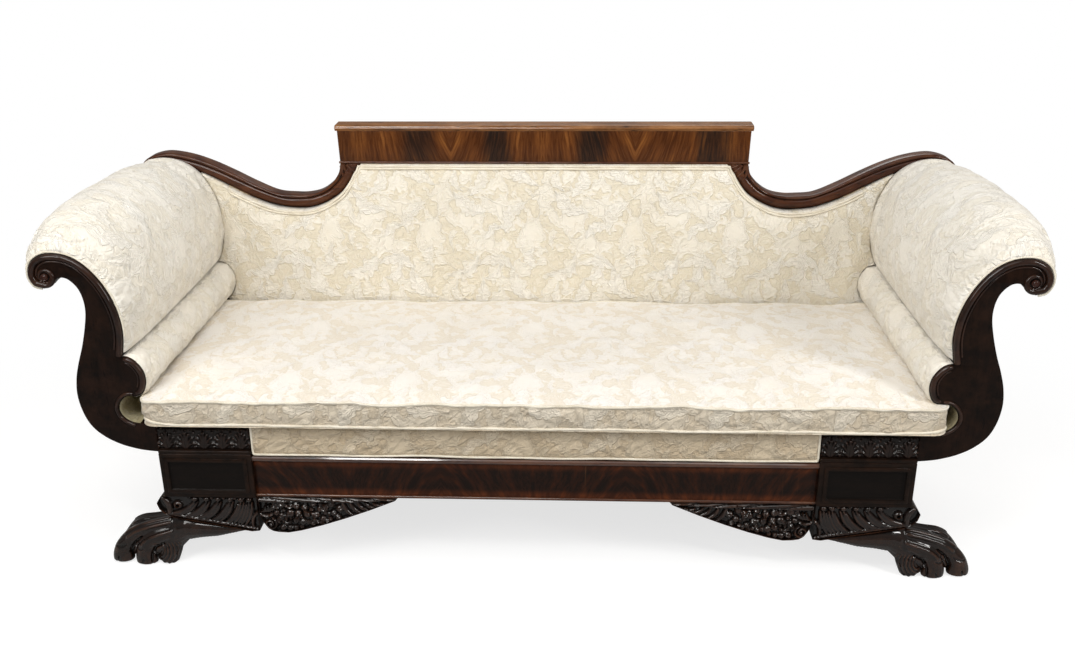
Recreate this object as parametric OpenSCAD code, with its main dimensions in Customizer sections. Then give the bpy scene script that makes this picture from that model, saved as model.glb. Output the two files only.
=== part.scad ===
/* [Seat frame] */
// Distance between the outer sides of the two front blocks
seat_span = 1706; // [1500:2:1900]
// Depth from the front of the arm facings to the back of the frame
frame_depth = 745; // [700:1:820]
// Height from the floor to the underside of the front blocks
leg_h = 190; // [160:1:230]
// Width of each panelled front block
block_w = 213; // [180:1:240]
// Height of each panelled front block
block_h = 113; // [95:1:130]
// Depth of each panelled front block
block_d = 70; // [55:1:90]
// How far the front blocks stand in front of the arm facings
block_proud = 10; // [6:1:16]
// Height of the carved frieze blocks above the front blocks
frieze_h = 61; // [50:1:75]
// Thickness of the seat rails
rail_t = 36; // [30:1:44]
// Height of the rear and side seat rails
seat_rail_h = 110; // [90:1:112]
// Thickness of the side seat rails
side_rail_t = 50; // [40:1:60]
// Width of the cross braces under the seat
brace_w = 50; // [40:1:60]
// Height of the cross braces under the seat
brace_h = 40; // [30:1:46]
// Length of the corner blocks along each rail
corner_leg = 90; // [70:1:110]
// Thickness of the corner blocks
corner_t = 45; // [30:1:55]
// Shank diameter of the frame screws
screw_d = 5; // [4:0.5:7]
// Head diameter of the frame screws
screw_head_d = 10; // [8:0.5:13]
// Length of the frame screws
screw_l = 60; // [45:1:80]

/* [Front rail] */
// Height of the rounded bead along the top of the lower front rail
rail_bead_h = 14; // [10:1:18]
// How far the rail beads stand in front of the rail face
rail_bead_proud = 6; // [4:0.5:9]
// Height of the small bead along the bottom of the lower front rail
rail_foot_bead_h = 7; // [5:0.5:10]
// Width of the raised frame round each block panel
panel_frame_w = 9; // [6:0.5:13]
// Distance from the block edge to that raised frame
panel_margin = 11; // [8:0.5:16]
// Depth to which each block panel is sunk
panel_sink = 4; // [2:0.5:7]

/* [Arm facings] */
// Width of each arm facing, from its block to the outside of the scroll
facing_w = 228; // [200:1:260]
// Height of each arm facing, from its foot to the top of the scroll
facing_h = 475; // [420:1:540]
// Thickness of the arm facings
facing_t = 34; // [26:1:44]
// Width of the raised moulding along the edge of each facing
moulding_w = 15; // [11:0.5:18]
// How far that moulding stands in front of the facing
moulding_proud = 8; // [5:0.5:11]
// Width of the thin bead inside the moulding
fillet_w = 4; // [3:0.5:6]
// Diameter of the boss in the eye of each scroll
boss_d = 15; // [11:0.5:20]

/* [Arm upholstery] */
// Greatest thickness of stuffing outside the line of the facing
pad_crown = 64; // [50:1:75]
// Thickness of stuffing inside the line of the facing
pad_depth = 22; // [16:0.5:26]
// How far the lower roll stands out from the lobe of the facing
roll_swell = 7; // [5:0.5:9]
// Thickness of the lower roll behind its face
roll_depth = 18; // [14:0.5:22]
// Thickness of the covers outside and below the arms
cover_t = 4; // [3:0.5:6]
// Thickness of the webbing straps
web_t = 3; // [2:0.5:4]
// Width of the webbing straps
web_w = 60; // [45:1:75]

/* [Back] */
// Height of the foot of the crest above the front blocks
back_h = 503; // [450:1:560]
// Height of the hump of each back rail above the foot of the crest
hump_rise = 28; // [16:1:40]
// Depth of the valley of each back rail below the foot of the crest
valley_drop = 86; // [70:1:100]
// Reach of each back rail from the end of the crest to its outer end
rail_run = 518; // [460:1:540]
// Thickness of the serpentine back rails
back_rail_t = 40; // [32:1:46]
// Height of the raised lip along the top of the back rails
rail_lip_h = 11; // [8:0.5:14]
// How far that lip stands in front of the rail face
rail_lip_proud = 5; // [3:0.5:8]
// Thickness of the upright members of the back frame
stile_t = 36; // [30:1:42]
// Width of the upright members of the back frame
stile_w = 53; // [40:1:60]
// Thickness of the back upholstery where it meets the seat
back_pad_foot_t = 68; // [56:1:80]
// Thickness of the back upholstery under the crest
back_pad_top_t = 11; // [9:0.5:16]
// Extra fullness in the middle of the back upholstery
back_pad_crown = 12; // [8:0.5:18]
// Width of the double cord round the back upholstery
gimp_w = 12; // [8:0.5:14]

/* [Crest] */
// Width of the crest tablet at its foot
crest_w = 1088; // [1000:2:1180]
// Extra width of the crest tablet at each end of its top
crest_flare = 3; // [1:0.5:8]
// Height of the crest tablet
crest_h = 88; // [70:1:110]
// Thickness of the crest tablet
crest_t = 26; // [20:1:32]
// Height of the top moulding of the crest
cap_h = 15; // [11:0.5:20]
// Depth of the top moulding of the crest
cap_d = 57; // [50:1:60]
// How far the top moulding overhangs each end of the tablet
cap_overhang = 9; // [6:0.5:14]
// Height of the bead along the foot of the crest
foot_bead_h = 6; // [4:0.5:9]

/* [Seat cushion] */
// How far the loose seat cushion is tucked under each arm roll
cushion_tuck = 40; // [20:1:42]
// Thickness of the seat cushion between its cords
cushion_edge_t = 56; // [48:1:58]
// Thickness of the hair pad under the cushion
deck_t = 9; // [6:0.5:12]
// Extra thickness at the middle of the cushion top
cushion_crown = 22; // [14:1:30]
// How far the cushion stands in front of the arm facings
cushion_proud = 26; // [20:1:32]
// Radius of the cushion corners seen from above
cushion_corner = 34; // [24:1:50]
// How far the cushion sides are drawn in between the corners
cushion_draw = 5; // [3:0.5:9]
// Diameter of the sewn cords
cord_d = 7; // [5:0.5:8]
// Diameter of the cords round the upholstered panels
welt_d = 5; // [4:0.5:6]

/* [Legs] */
// Depth of the front legs and brackets
leg_d = 88; // [70:1:100]
// Reach of each paw outside the front block
paw_reach = 152; // [120:1:180]
// Reach of each bracket from the leg towards the middle
bracket_reach = 328; // [260:1:380]
// Thickness of the carved brackets
bracket_t = 44; // [32:1:60]
// Width of the rear legs at the top
rear_leg_w = 56; // [44:1:60]
// Width of the rear legs at the floor
rear_leg_foot_w = 38; // [30:1:48]
// Distance that the rear legs rake backwards
rear_rake = 9; // [0:1:10]

/* [Hidden] */

// Gap between soft pieces and what carries them, and overrun of the cuts
gap = 0.3;
slack = 1;
cut = 1;

// Colours
mahogany = [0.24, 0.12, 0.08];
dark_mahogany = [0.15, 0.09, 0.07];
flame_mahogany = [0.42, 0.23, 0.12];
poplar = [0.72, 0.6, 0.42];
damask = [0.91, 0.86, 0.76];
damask_pale = [0.95, 0.92, 0.85];
jute = [0.66, 0.55, 0.38];
cambric = [0.12, 0.12, 0.13];
steel = [0.6, 0.6, 0.62];

// Planes that the whole frame shares
half_seat = seat_span / 2;
block_in = half_seat - block_w;
z_frieze = leg_h + block_h;
z_seat = z_frieze + frieze_h;
z_crest = z_frieze + back_h;
z_cap = z_crest + crest_h;
front_y = (cushion_proud - frame_depth) / 2;
back_y = front_y + frame_depth;
frame_back_y = back_y - (cap_d - back_rail_t);
back_frame_y = frame_back_y - stile_t;
rail_face_y = frame_back_y - back_rail_t + rail_lip_proud;
z_deck = z_seat + 2 * web_t;
z_cushion = z_deck + deck_t + gap;

// Unit vectors, blends, smooth curves and offset curves
function unit(v) = v / norm(v);
function blend(a, b, s) = a + (b - a) * s;
function curve_point(a, b, c, d, s) =
    (2 * b + (c - a) * s + (2 * a - 5 * b + 4 * c - d) * s * s
    + (3 * b - a - 3 * c + d) * s * s * s) / 2;
function curve(p, k) = [for (i = [0:len(p) - 2], j = [0:k - 1])
    curve_point(p[max(i - 1, 0)], p[i], p[i + 1], p[min(i + 2, len(p) - 1)], j / k),
    p[len(p) - 1]];
function outward(p) = [for (i = [0:len(p) - 1])
    let (t = unit(p[min(i + 1, len(p) - 1)] - p[max(i - 1, 0)])) [t[1], -t[0]]];
function shifted(p, d) = let (n = outward(p)) [for (i = [0:len(p) - 1]) p[i] + n[i] * d];
function swollen(p, d) = let (n = outward(p)) [for (i = [0:len(p) - 1]) p[i] + n[i] * d[i]];
function reversed(p) = [for (i = [len(p) - 1:-1:0]) p[i]];
function mirrored(p) = [for (q = reversed(p)) [-q[0], q[1]]];
function strip(p, outer, inner) = concat(shifted(p, outer), reversed(shifted(p, inner)));
function at_depth(p, y) = [for (q = p) [q[0], y, q[1]]];

// Solid through a row of rings that all have the same even number of points
function ring_walls(n, rows, total) = [for (i = [0:rows - 1], j = [0:n - 1])
    let (a = i * n + j, b = i * n + (j + 1) % n, c = (b + n) % total, d = (a + n) % total)
    each [[a, b, c], [a, c, d]]];
module skin(rings) {
    n = len(rings[0]);
    last = (len(rings) - 1) * n;
    half = n / 2;
    walls = ring_walls(n, len(rings) - 1, len(rings) * n);
    first_cap = [for (k = [0:half - 2])
        each [[k, n - 1 - k, k + 1], [k + 1, n - 1 - k, n - 2 - k]]];
    last_cap = [for (f = first_cap) [last + f[0], last + f[2], last + f[1]]];
    polyhedron([for (r = rings) each r], concat(walls, first_cap, last_cap));
}

// Board with an outline seen from the front, between two depths
module board(outline, y_from, y_to) {
    translate([0, y_to, 0]) rotate([90, 0, 0]) linear_extrude(y_to - y_from) polygon(outline);
}

// Box between two corners
module block(low, high) {
    translate(low) cube(high - low);
}

// Half round moulding laid along a curve on a face, whose depth is given for each point
module half_round(path, width, proud, faces) {
    n = outward(path);
    turns = [for (a = [0:36:180]) [cos(a) * width / 2, sin(a) * proud]];
    skin([for (i = [0:len(path) - 1]) [for (q = turns)
        [path[i][0] + n[i][0] * q[0], faces[i] - q[1], path[i][1] + n[i][1] * q[0]]]]);
}
function on_facing(path) = [for (p = path) front_y];

// Round cord laid along a curve at one depth
module cord(path, diameter, y) {
    n = outward(path);
    turns = [for (a = [22.5:45:360]) [cos(a), sin(a)] * diameter / 2];
    skin([for (i = [0:len(path) - 1]) [for (q = turns)
        [path[i][0] + n[i][0] * q[0], y - q[1], path[i][1] + n[i][1] * q[0]]]]);
}

// Round cord laid flat along a closed outline
module closed_cord(outline, diameter, z) {
    m = len(outline);
    turns = [for (a = [30:60:360]) [cos(a), sin(a)] * diameter / 2];
    rings = [for (i = [0:m - 1])
        let (t = unit(outline[(i + 1) % m] - outline[(i + m - 1) % m])) [for (q = turns)
        [outline[i][0] + t[1] * q[0], outline[i][1] - t[0] * q[0], z + q[1]]]];
    n = len(turns);
    polyhedron([for (r = rings) each r], ring_walls(n, m, m * n));
}

// The drawn side is the right one, and the left one is its mirror image
module left_side() {
    mirror([1, 0, 0]) children();
}

// Facing outline in shares of its width and height, anticlockwise seen from the front
edge_shares = [[0.864, 0.832], [0.952, 0.844], [1, 0.884], [0.991, 0.928], [0.939, 0.968],
    [0.846, 0.994], [0.737, 1], [0.627, 0.992], [0.513, 0.966], [0.404, 0.92], [0.303, 0.851],
    [0.228, 0.768], [0.189, 0.684], [0.184, 0.6], [0.219, 0.499]];
lobe_shares = [[0.219, 0.499], [0.162, 0.493], [0.096, 0.469], [0.039, 0.423], [0.031, 0.366],
    [0.075, 0.312], [0.158, 0.291]];
notch_shares = [[0.158, 0.291], [0.224, 0.297], [0.289, 0.28], [0.333, 0.248], [0.338, 0.213],
    [0.298, 0.179], [0.232, 0.158], [0.154, 0.149], [0, 0.145]];
under_shares = [[0, 0], [0.101, 0.004], [0.215, 0.013], [0.373, 0.036], [0.526, 0.076],
    [0.645, 0.133], [0.711, 0.208], [0.737, 0.295], [0.719, 0.377], [0.675, 0.453],
    [0.605, 0.545], [0.548, 0.638], [0.513, 0.72], [0.518, 0.787], [0.557, 0.84],
    [0.636, 0.878], [0.719, 0.882], [0.781, 0.855], [0.82, 0.836]];
// Eye of the scroll, and the stuffing on the edge as shares of its crown
eye_share = [0.842, 0.888];
swell_shares = [0.1, 0.34, 0.6, 0.76, 0.89, 0.97, 1, 1, 0.97, 0.88, 0.72, 0.56, 0.44, 0.34, 0.2];
roll_shares = [-0.3, 0.5, 1, 1, 1, 0.8, 0.3];

function facing_point(s) = [half_seat + s[0] * facing_w, z_frieze + s[1] * facing_h];
function facing_points(shares) = [for (s = shares) facing_point(s)];
edge = curve(facing_points(edge_shares), 3);
lobe = curve(facing_points(lobe_shares), 3);
notch = curve(facing_points(notch_shares), 3);
under = curve(facing_points(under_shares), 3);
facing_outline = concat(edge, lobe, notch, under);
eye = facing_point(eye_share);

// Stuffing along the depth of the arm: distance as a share of the depth, share of the crown
back_stop = back_frame_y - gap;
arm_run = back_stop - front_y;
pad_run_shares = [[0.0085, 0.16], [0.02, 0.3], [0.05, 0.48], [0.115, 0.72], [0.23, 0.92],
    [0.43, 1], [0.7, 0.95], [0.87, 0.82], [1, 0.68]];
roll_run_shares = [[0.0085, 0.35], [0.018, 0.7], [0.05, 1], [0.5, 1.1], [1, 1]];
rear_share = pad_run_shares[8][1];

// Pad and roll paths: fewer points, and the pad stops just above the roll
pad_edge_shares = [for (i = [0:14]) i < 14 ? edge_shares[i] : [0.212, 0.516]];
pad_edge = curve(facing_points(pad_edge_shares), 2);
pad_swell = [for (s = curve(swell_shares, 2)) s * pad_crown];
roll_edge = curve(facing_points(lobe_shares), 2);
roll_out = [for (s = curve(roll_shares, 2)) s * roll_swell];
function stuffing_ring(path, swell, share, depth, y) =
    at_depth(concat(swollen(path, [for (s = swell) max(s * share, 2 * slack)]),
    reversed(shifted(path, depth))), y);

// Stuffed form on a path: outside the facing board in front, and round the rails behind it
module stuffing(path, swell, run_shares, depth) {
    y_back = front_y + facing_t;
    at_board = lookup(facing_t / arm_run, run_shares);
    front_rings = [for (s = run_shares) if (s[0] * arm_run < facing_t - gap)
        stuffing_ring(path, swell, s[1], slack, front_y + s[0] * arm_run)];
    board_rings = [stuffing_ring(path, swell, at_board, slack, y_back + gap),
        stuffing_ring(path, swell, at_board, -depth, y_back + 2 * gap)];
    rear_rings = [for (s = run_shares) if (s[0] * arm_run > facing_t + 3 * gap)
        stuffing_ring(path, swell, s[1], -depth, front_y + s[0] * arm_run)];
    skin(concat(front_rings, board_rings, rear_rings));
}

// Serpentine rail outline, in shares of its run and of the height from valley to hump
rail_top_shares = [[0, 0.754], [0.014, 0.509], [0.056, 0.263], [0.116, 0.079], [0.185, 0.004],
    [0.253, 0], [0.349, 0.044], [0.461, 0.263], [0.573, 0.526], [0.681, 0.754], [0.788, 0.921],
    [0.894, 1], [0.967, 0.956], [1.02, 0.84], [1.055, 0.66]];
rail_low_shares = [[-0.108, 0.754], [-0.071, 0.553], [-0.05, 0.377], [0.002, 0.07],
    [0.089, -0.184], [0.174, -0.307], [0.261, -0.316], [0.365, -0.246], [0.492, -0.026],
    [0.575, 0.167], [0.668, 0.395], [0.793, 0.64], [0.886, 0.728], [0.96, 0.68], [1, 0.52]];
rail_z_run = valley_drop + hump_rise;
function rail_point(s) = [crest_w / 2 + s[0] * rail_run, z_crest - valley_drop + s[1] * rail_z_run];
function rail_curve(shares) = curve([for (s = shares) rail_point(s)], 3);
rail_top = rail_curve(rail_top_shares);
rail_low = rail_curve(rail_low_shares);
rail_outline = concat(reversed(rail_top), rail_low);
function rail_low_z(x) = lookup(x, rail_low);

// Legs

// Front leg: leafy knee under the block, low ankle, and a paw that points outwards
knee_shares = [[0, 0], [0.004, -0.345], [-0.024, -0.505], [0.09, -0.51], [0.94, -0.345],
    [1.05, -0.27], [1.118, -0.13], [1.1, -0.03], [1, 0]];
// Along the leg: share of the way to the toe, lowest and highest share of the leg height, depth
paw_shares = [[0, 0.485, 0.5, 0.5], [0.13, 0.45, 0.54, 0.72], [0.28, 0.4, 0.58, 0.84],
    [0.44, 0.34, 0.625, 0.9], [0.53, 0.24, 0.65, 0.94], [0.6, 0.06, 0.665, 0.97],
    [0.68, 0.01, 0.67, 1], [0.78, 0.01, 0.61, 1], [0.87, 0.01, 0.48, 0.96],
    [0.95, 0.01, 0.3, 0.86], [1, 0.03, 0.16, 0.7]];
toe_shares = [0.14, 0.38, 0.62, 0.86];
module leg_solid() {
    leg_y = front_y - block_proud;
    mid_y = leg_y + leg_d / 2;
    x_in = block_in + cover_t;
    x_out = half_seat + paw_reach;
    toe_r = leg_d / 6;
    color(dark_mahogany) union() {
        board([for (s = knee_shares) [block_in + s[0] * block_w, leg_h + s[1] * leg_h]],
            leg_y, leg_y + leg_d);
        skin([for (s = paw_shares) let (x = blend(x_in, x_out, s[0]), low = s[1] * leg_h,
            high = s[2] * leg_h, mid = (low + high) / 2)
            [for (a = [15:30:360]) [x, mid_y - cos(a) * s[3] * leg_d / 2,
                mid + sin(a) * (high - low) / 2]]]);
        for (s = toe_shares) {
            reach = sin(s * 180) * toe_r / 2;
            translate([x_out - toe_r + reach, leg_y + s * leg_d, toe_r])
                sphere(toe_r, $fn = 24);
        }
        sole_len = paw_reach - toe_r;
        sole_h = leg_h / 12;
        block([half_seat + toe_r, leg_y + toe_r, 0],
            [half_seat + sole_len, leg_y + leg_d - toe_r, sole_h]);
    }
}
module front_leg_left() {
    left_side() leg_solid();
}
module front_leg_right() {
    leg_solid();
}

// Carved bracket beside each leg, with a scroll next to the leg and a tip towards the middle
bracket_shares = [[0, 0], [0.008, -0.27], [0.03, -0.38], [0.075, -0.475], [0.13, -0.5],
    [0.2, -0.505], [0.3, -0.47], [0.45, -0.39], [0.62, -0.29], [0.8, -0.17], [0.95, -0.06], [1, 0]];
module bracket_solid() {
    lift = slack;
    outline = [for (s = curve(bracket_shares, 3))
        [block_in - lift - s[0] * bracket_reach, leg_h + s[1] * leg_h]];
    color(dark_mahogany) board(outline, front_y, front_y + bracket_t);
}
module leg_bracket_left() {
    left_side() bracket_solid();
}
module leg_bracket_right() {
    bracket_solid();
}

// Rear leg: plain, tapered and raked, under the rear seat rail
module rear_leg_solid() {
    z_top = z_seat - seat_rail_h;
    top_y = back_frame_y + stile_t - rear_leg_w + rear_leg_w / 8;
    foot_y = top_y + (rear_leg_w - rear_leg_foot_w) + rear_rake;
    outline = [[foot_y, 0], [foot_y + rear_leg_foot_w, 0], [top_y + rear_leg_w, z_top],
        [top_y, z_top]];
    color(mahogany) translate([half_seat - side_rail_t, 0, 0]) rotate([90, 0, 90])
        linear_extrude(rear_leg_w) polygon(outline);
}
module rear_leg_left() {
    left_side() rear_leg_solid();
}
module rear_leg_right() {
    rear_leg_solid();
}

// Seat frame

// Front block with a sunk panel
module panel_block_solid() {
    margin = panel_margin + panel_frame_w;
    face_y = front_y - block_proud;
    color(dark_mahogany) difference() {
        block([block_in, face_y, leg_h], [half_seat, front_inner_y, z_frieze]);
        block([block_in + margin, face_y - cut, leg_h + margin],
            [half_seat - margin, face_y + panel_sink, z_frieze - margin]);
    }
}
module panel_block_left() {
    left_side() panel_block_solid();
}
module panel_block_right() {
    panel_block_solid();
}

// Raised frame round the block panel
module panel_bead_solid() {
    face_y = front_y - block_proud;
    proud = panel_sink / 2;
    margin = panel_margin + panel_frame_w;
    color(dark_mahogany) difference() {
        block([block_in + panel_margin, face_y - proud, leg_h + panel_margin],
            [half_seat - panel_margin, face_y, z_frieze - panel_margin]);
        block([block_in + margin, face_y - proud - cut, leg_h + margin],
            [half_seat - margin, face_y + cut, z_frieze - margin]);
    }
}
module panel_bead_left() {
    left_side() panel_bead_solid();
}
module panel_bead_right() {
    panel_bead_solid();
}

// Frieze block between the front block and the seat, with a stepped foot
module frieze_solid() {
    face_y = front_y - block_proud / 2;
    step = frieze_h / 7;
    lip = block_proud / 4;
    color(dark_mahogany) difference() {
        union() {
            block([block_in, face_y, z_frieze], [half_seat, front_inner_y, z_seat]);
            block([block_in, front_y - block_proud, z_frieze],
                [half_seat, front_inner_y, z_frieze + step]);
            block([block_in, face_y - lip, z_seat - step], [half_seat, front_inner_y, z_seat]);
        }
        frame_screw_holes();
    }
}
module frieze_block_left() {
    left_side() frieze_solid();
}
module frieze_block_right() {
    frieze_solid();
}

// Veneered lower rail with a round bead along its top and a small one along its foot
module lower_front_rail() {
    nose = rail_bead_h / 2;
    foot = rail_foot_bead_h / 2;
    z_top = z_frieze - rail_bead_h / 2;
    color(flame_mahogany) union() {
        block([-block_in, front_y, leg_h], [block_in, front_y + rail_t, z_top]);
        translate([-block_in, front_y - rail_bead_proud + nose, z_top - nose])
            rotate([0, 90, 0]) cylinder(2 * block_in, r = nose, $fn = 32);
        translate([-block_in, front_y, leg_h + foot])
            rotate([0, 90, 0]) cylinder(2 * block_in, r = foot, $fn = 24);
    }
}

// Seat rails
module front_seat_rail() {
    z_low = z_frieze - rail_bead_h / 2;
    y_face = front_y + rail_bead_proud + slack;
    color(poplar) block([-block_in, y_face, z_low], [block_in, front_y + rail_t + slack, z_seat]);
}
module rear_seat_rail() {
    color(poplar) difference() {
        block([-half_seat, back_frame_y, z_seat - seat_rail_h], [half_seat, frame_back_y, z_seat]);
        frame_screw_holes();
    }
}
module side_rail_solid() {
    color(poplar) block([half_seat - side_rail_t, front_inner_y, z_seat - seat_rail_h],
        [half_seat, back_frame_y, z_seat]);
}
module side_rail_left() {
    left_side() side_rail_solid();
}
module side_rail_right() {
    side_rail_solid();
}
module cross_braces() {
    third = seat_span / 6;
    z_low = z_seat - brace_h - web_t;
    color(poplar) for (x = [-third, third])
        block([x - brace_w / 2, front_y + rail_t + slack, z_low],
            [x + brace_w / 2, back_frame_y, z_low + brace_h]);
}

// Glued corner blocks, and the sunk screws that hold them
front_inner_y = front_y - block_proud + block_d;
module corner_block(sx, sy) {
    x_in = half_seat - side_rail_t;
    y_in = sy < 0 ? front_inner_y : back_frame_y;
    z_low = z_seat - corner_t - web_t;
    translate([sx * x_in, y_in, z_low]) linear_extrude(corner_t)
        polygon([[0, 0], [-sx * corner_leg, 0], [0, -sy * corner_leg]]);
}
module corner_blocks() {
    color(poplar) difference() {
        for (sx = [-1, 1], sy = [-1, 1]) corner_block(sx, sy);
        frame_screw_holes();
    }
}
module at_screws() {
    x = half_seat - side_rail_t - corner_leg / 2;
    z_mid = z_seat - web_t - corner_t / 2;
    for (sx = [-1, 1], sy = [-1, 1])
        translate([sx * x, (sy < 0 ? front_inner_y : back_frame_y) - sy * corner_leg / 2, z_mid])
            rotate([-sy * 90, 0, 0]) children();
}
screw_seat = screw_head_d / 2 + slack;
module frame_screw_holes() {
    at_screws() {
        cylinder(screw_seat + screw_l + gap, d = screw_d + gap, $fn = 32);
        translate([0, 0, -screw_head_d]) cylinder(screw_head_d + screw_seat,
            d = screw_head_d + 2 * gap, $fn = 32);
    }
}
module frame_screws() {
    head_h = screw_d / 2;
    color(steel) at_screws() {
        translate([0, 0, screw_seat - head_h]) cylinder(head_h, d = screw_head_d, $fn = 32);
        translate([0, 0, screw_seat]) cylinder(screw_l, d = screw_d, $fn = 32);
    }
}

// Webbing across the seat rails: cross straps below, long straps above
module seat_webbing() {
    y_from = front_y + rail_t;
    span_y = back_frame_y - y_from;
    span_x = 2 * half_seat;
    color(jute) {
        for (i = [1:9]) block([-half_seat + i * span_x / 10 - web_w / 2, y_from - rail_t / 2, z_seat],
            [-half_seat + i * span_x / 10 + web_w / 2, back_frame_y + stile_t / 2, z_seat + web_t]);
        for (i = [1:4]) block([-half_seat + web_t, y_from + i * span_y / 5 - web_w / 2,
            z_seat + web_t], [half_seat - web_t, y_from + i * span_y / 5 + web_w / 2,
            z_seat + 2 * web_t]);
    }
}

// Hair pad under decking cloth
module deck_pad() {
    color(damask_pale) block([-half_seat, front_y + slack + facing_t, z_deck],
        [half_seat, back_frame_y - slack, z_deck + deck_t]);
}

// Thin cloth tacked under the seat rails
module dust_cover() {
    z_low = z_seat - seat_rail_h;
    color(cambric) block([-half_seat + slack, front_inner_y + slack, z_low - web_t / 2],
        [half_seat - slack, back_frame_y - rear_leg_w / 2, z_low]);
}

// Ring of points round a soft rectangle, symmetrical about both axes
function soft_quarter(hx, hy, r, draw) = concat(
    [for (i = [0:2]) let (s = (i + 0.5) / 3) [hx - draw * cos(90 * s), (hy - r) * s]],
    [for (a = [0:30:90]) [hx - r + r * cos(a), hy - r + r * sin(a)]],
    [for (i = [0:5]) let (s = (i + 0.5) / 6) [(hx - r) * (1 - s), hy - draw * sin(90 * s)]]);
function soft_ring(hx, hy, r, draw) = let (q = soft_quarter(hx, hy, r, draw))
    concat(q, mirrored(q), [for (p = q) -p], reversed([for (p = q) [p[0], -p[1]]]));

// Upholstered front panel between the blocks
panel_z_low = z_frieze - rail_bead_h / 2 + slack;
panel_z_high = z_seat + 2 * web_t + deck_t / 2;
module front_panel() {
    z_mid = (panel_z_low + panel_z_high) / 2;
    hx = block_in - slack;
    hz = (panel_z_high - panel_z_low) / 2;
    face_y = front_y + rail_bead_proud + slack - gap;
    corner = welt_d;
    // Inset and distance in front of the rail, in cord diameters, and outward bow of the ends
    ring_shares = [[0, 0, -0.1], [0, 0.8, 0], [1.3, 1, 0], [1.5, 2, 0], [6, 2.5, -0.1]];
    color(damask) skin(reversed([for (s = ring_shares) let (d = s[0] * welt_d)
        [for (p = soft_ring(hx - d, hz - d, corner, s[2] * welt_d))
            [p[0], face_y - s[1] * welt_d, z_mid + p[1]]]]));
}
module front_panel_cord() {
    inset = slack + 0.6 * welt_d;
    x = block_in - inset;
    z_low = panel_z_low + inset;
    y = front_y + rail_bead_proud + slack - 1.5 * welt_d - 2 * gap;
    color(damask_pale) cord([[x, panel_z_high - inset], [x, z_low + welt_d], [x - welt_d, z_low],
        [welt_d - x, z_low], [-x, z_low + welt_d], [-x, panel_z_high - inset]], welt_d, y);
}

// Arms

// Arm facing: a flat board with a scroll above, a lobe and a notch inside
module facing_solid() {
    color(dark_mahogany) board(facing_outline, front_y, front_y + facing_t);
}
module facing_left() {
    left_side() facing_solid();
}
module facing_right() {
    facing_solid();
}

// Mouldings on the face: a wide one on the edge with a thin bead inside it
module facing_moulding_solid() {
    wide = shifted(edge, -moulding_w / 2 - slack);
    thin = shifted([for (i = [2:len(edge) - 1]) edge[i]], -moulding_w - fillet_w);
    color(dark_mahogany) union() {
        half_round(wide, moulding_w, moulding_proud, on_facing(wide));
        half_round(thin, fillet_w, fillet_w / 2, on_facing(thin));
    }
}
module facing_moulding_left() {
    left_side() facing_moulding_solid();
}
module facing_moulding_right() {
    facing_moulding_solid();
}
module lobe_moulding_solid() {
    path = concat([for (i = [3:len(lobe) - 2]) lobe[i]],
        [for (i = [2:len(notch) - 4]) notch[i]]);
    width = moulding_w * 0.6;
    color(dark_mahogany) half_round(shifted(path, -width / 2 - slack), width,
        moulding_proud / 2, on_facing(path));
}
module lobe_moulding_left() {
    left_side() lobe_moulding_solid();
}
module lobe_moulding_right() {
    lobe_moulding_solid();
}

// Boss in the eye of the scroll
module scroll_boss_solid() {
    base_h = moulding_proud / 3;
    color(mahogany) translate([eye[0], front_y, eye[1]]) rotate([90, 0, 0]) {
        cylinder(base_h, d = boss_d, $fn = 32);
        translate([0, 0, base_h]) cylinder(base_h, d1 = boss_d, d2 = boss_d / 2, $fn = 32);
    }
}
module scroll_boss_left() {
    left_side() scroll_boss_solid();
}
module scroll_boss_right() {
    scroll_boss_solid();
}

// Rear post of the arm: the facing's shape, raised to the height of the stuffing
post_edge = swollen(pad_edge, [for (s = pad_swell) s * rear_share - slack]);
module arm_post_solid() {
    outline = concat(post_edge, [[half_seat, post_edge[len(post_edge) - 1][1]]], under);
    color(mahogany) difference() {
        board(outline, back_frame_y, frame_back_y);
        board(concat(rail_low, [[half_seat + 2 * facing_w, z_crest], [half_seat + 2 * facing_w,
            2 * z_crest], [rail_low[0][0], 2 * z_crest]]), back_frame_y - cut, frame_back_y + cut);
    }
}
module arm_post_left() {
    left_side() arm_post_solid();
}
module arm_post_right() {
    arm_post_solid();
}

// Rails inside the arm, from the facing to the rear post
module arm_rails_solid() {
    inner = shifted(pad_edge, -pad_depth - gap);
    top_rail = [for (i = [3:14]) inner[i]];
    low = shifted(roll_edge, -roll_depth - gap);
    low_rail = [for (i = [1:len(low) - 2]) low[i]];
    y_from = front_y + facing_t;
    base_h = frieze_h - 2 * cover_t;
    color(poplar) {
        board(top_rail, y_from, back_frame_y);
        board(low_rail, y_from, back_frame_y);
        block([half_seat, y_from, z_seat - base_h], [half_seat + rail_t, back_frame_y, z_seat]);
    }
}
module arm_rails_left() {
    left_side() arm_rails_solid();
}
module arm_rails_right() {
    arm_rails_solid();
}

// Webbing straps behind the inner face of the arm stuffing
module arm_webbing_solid() {
    path = shifted([for (i = [15:len(pad_edge) - 1]) pad_edge[i]], -pad_depth - gap);
    color(jute) for (i = [1:3]) {
        y_mid = blend(front_y + facing_t, back_frame_y, i / 4);
        board(strip(path, 0, -web_t), y_mid - web_w / 2, y_mid + web_w / 2);
    }
}
module arm_webbing_left() {
    left_side() arm_webbing_solid();
}
module arm_webbing_right() {
    arm_webbing_solid();
}

// Stuffed arm: inner face, top and scroll
module arm_pad_left() {
    left_side() arm_pad_right();
}
module arm_pad_right() {
    color(damask) stuffing(pad_edge, pad_swell, pad_run_shares, pad_depth);
}

// Lower roll between the arm and the seat cushion
module arm_roll_left() {
    left_side() arm_roll_right();
}
module arm_roll_right() {
    color(damask) stuffing(roll_edge, roll_out, roll_run_shares, roll_depth);
}

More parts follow.
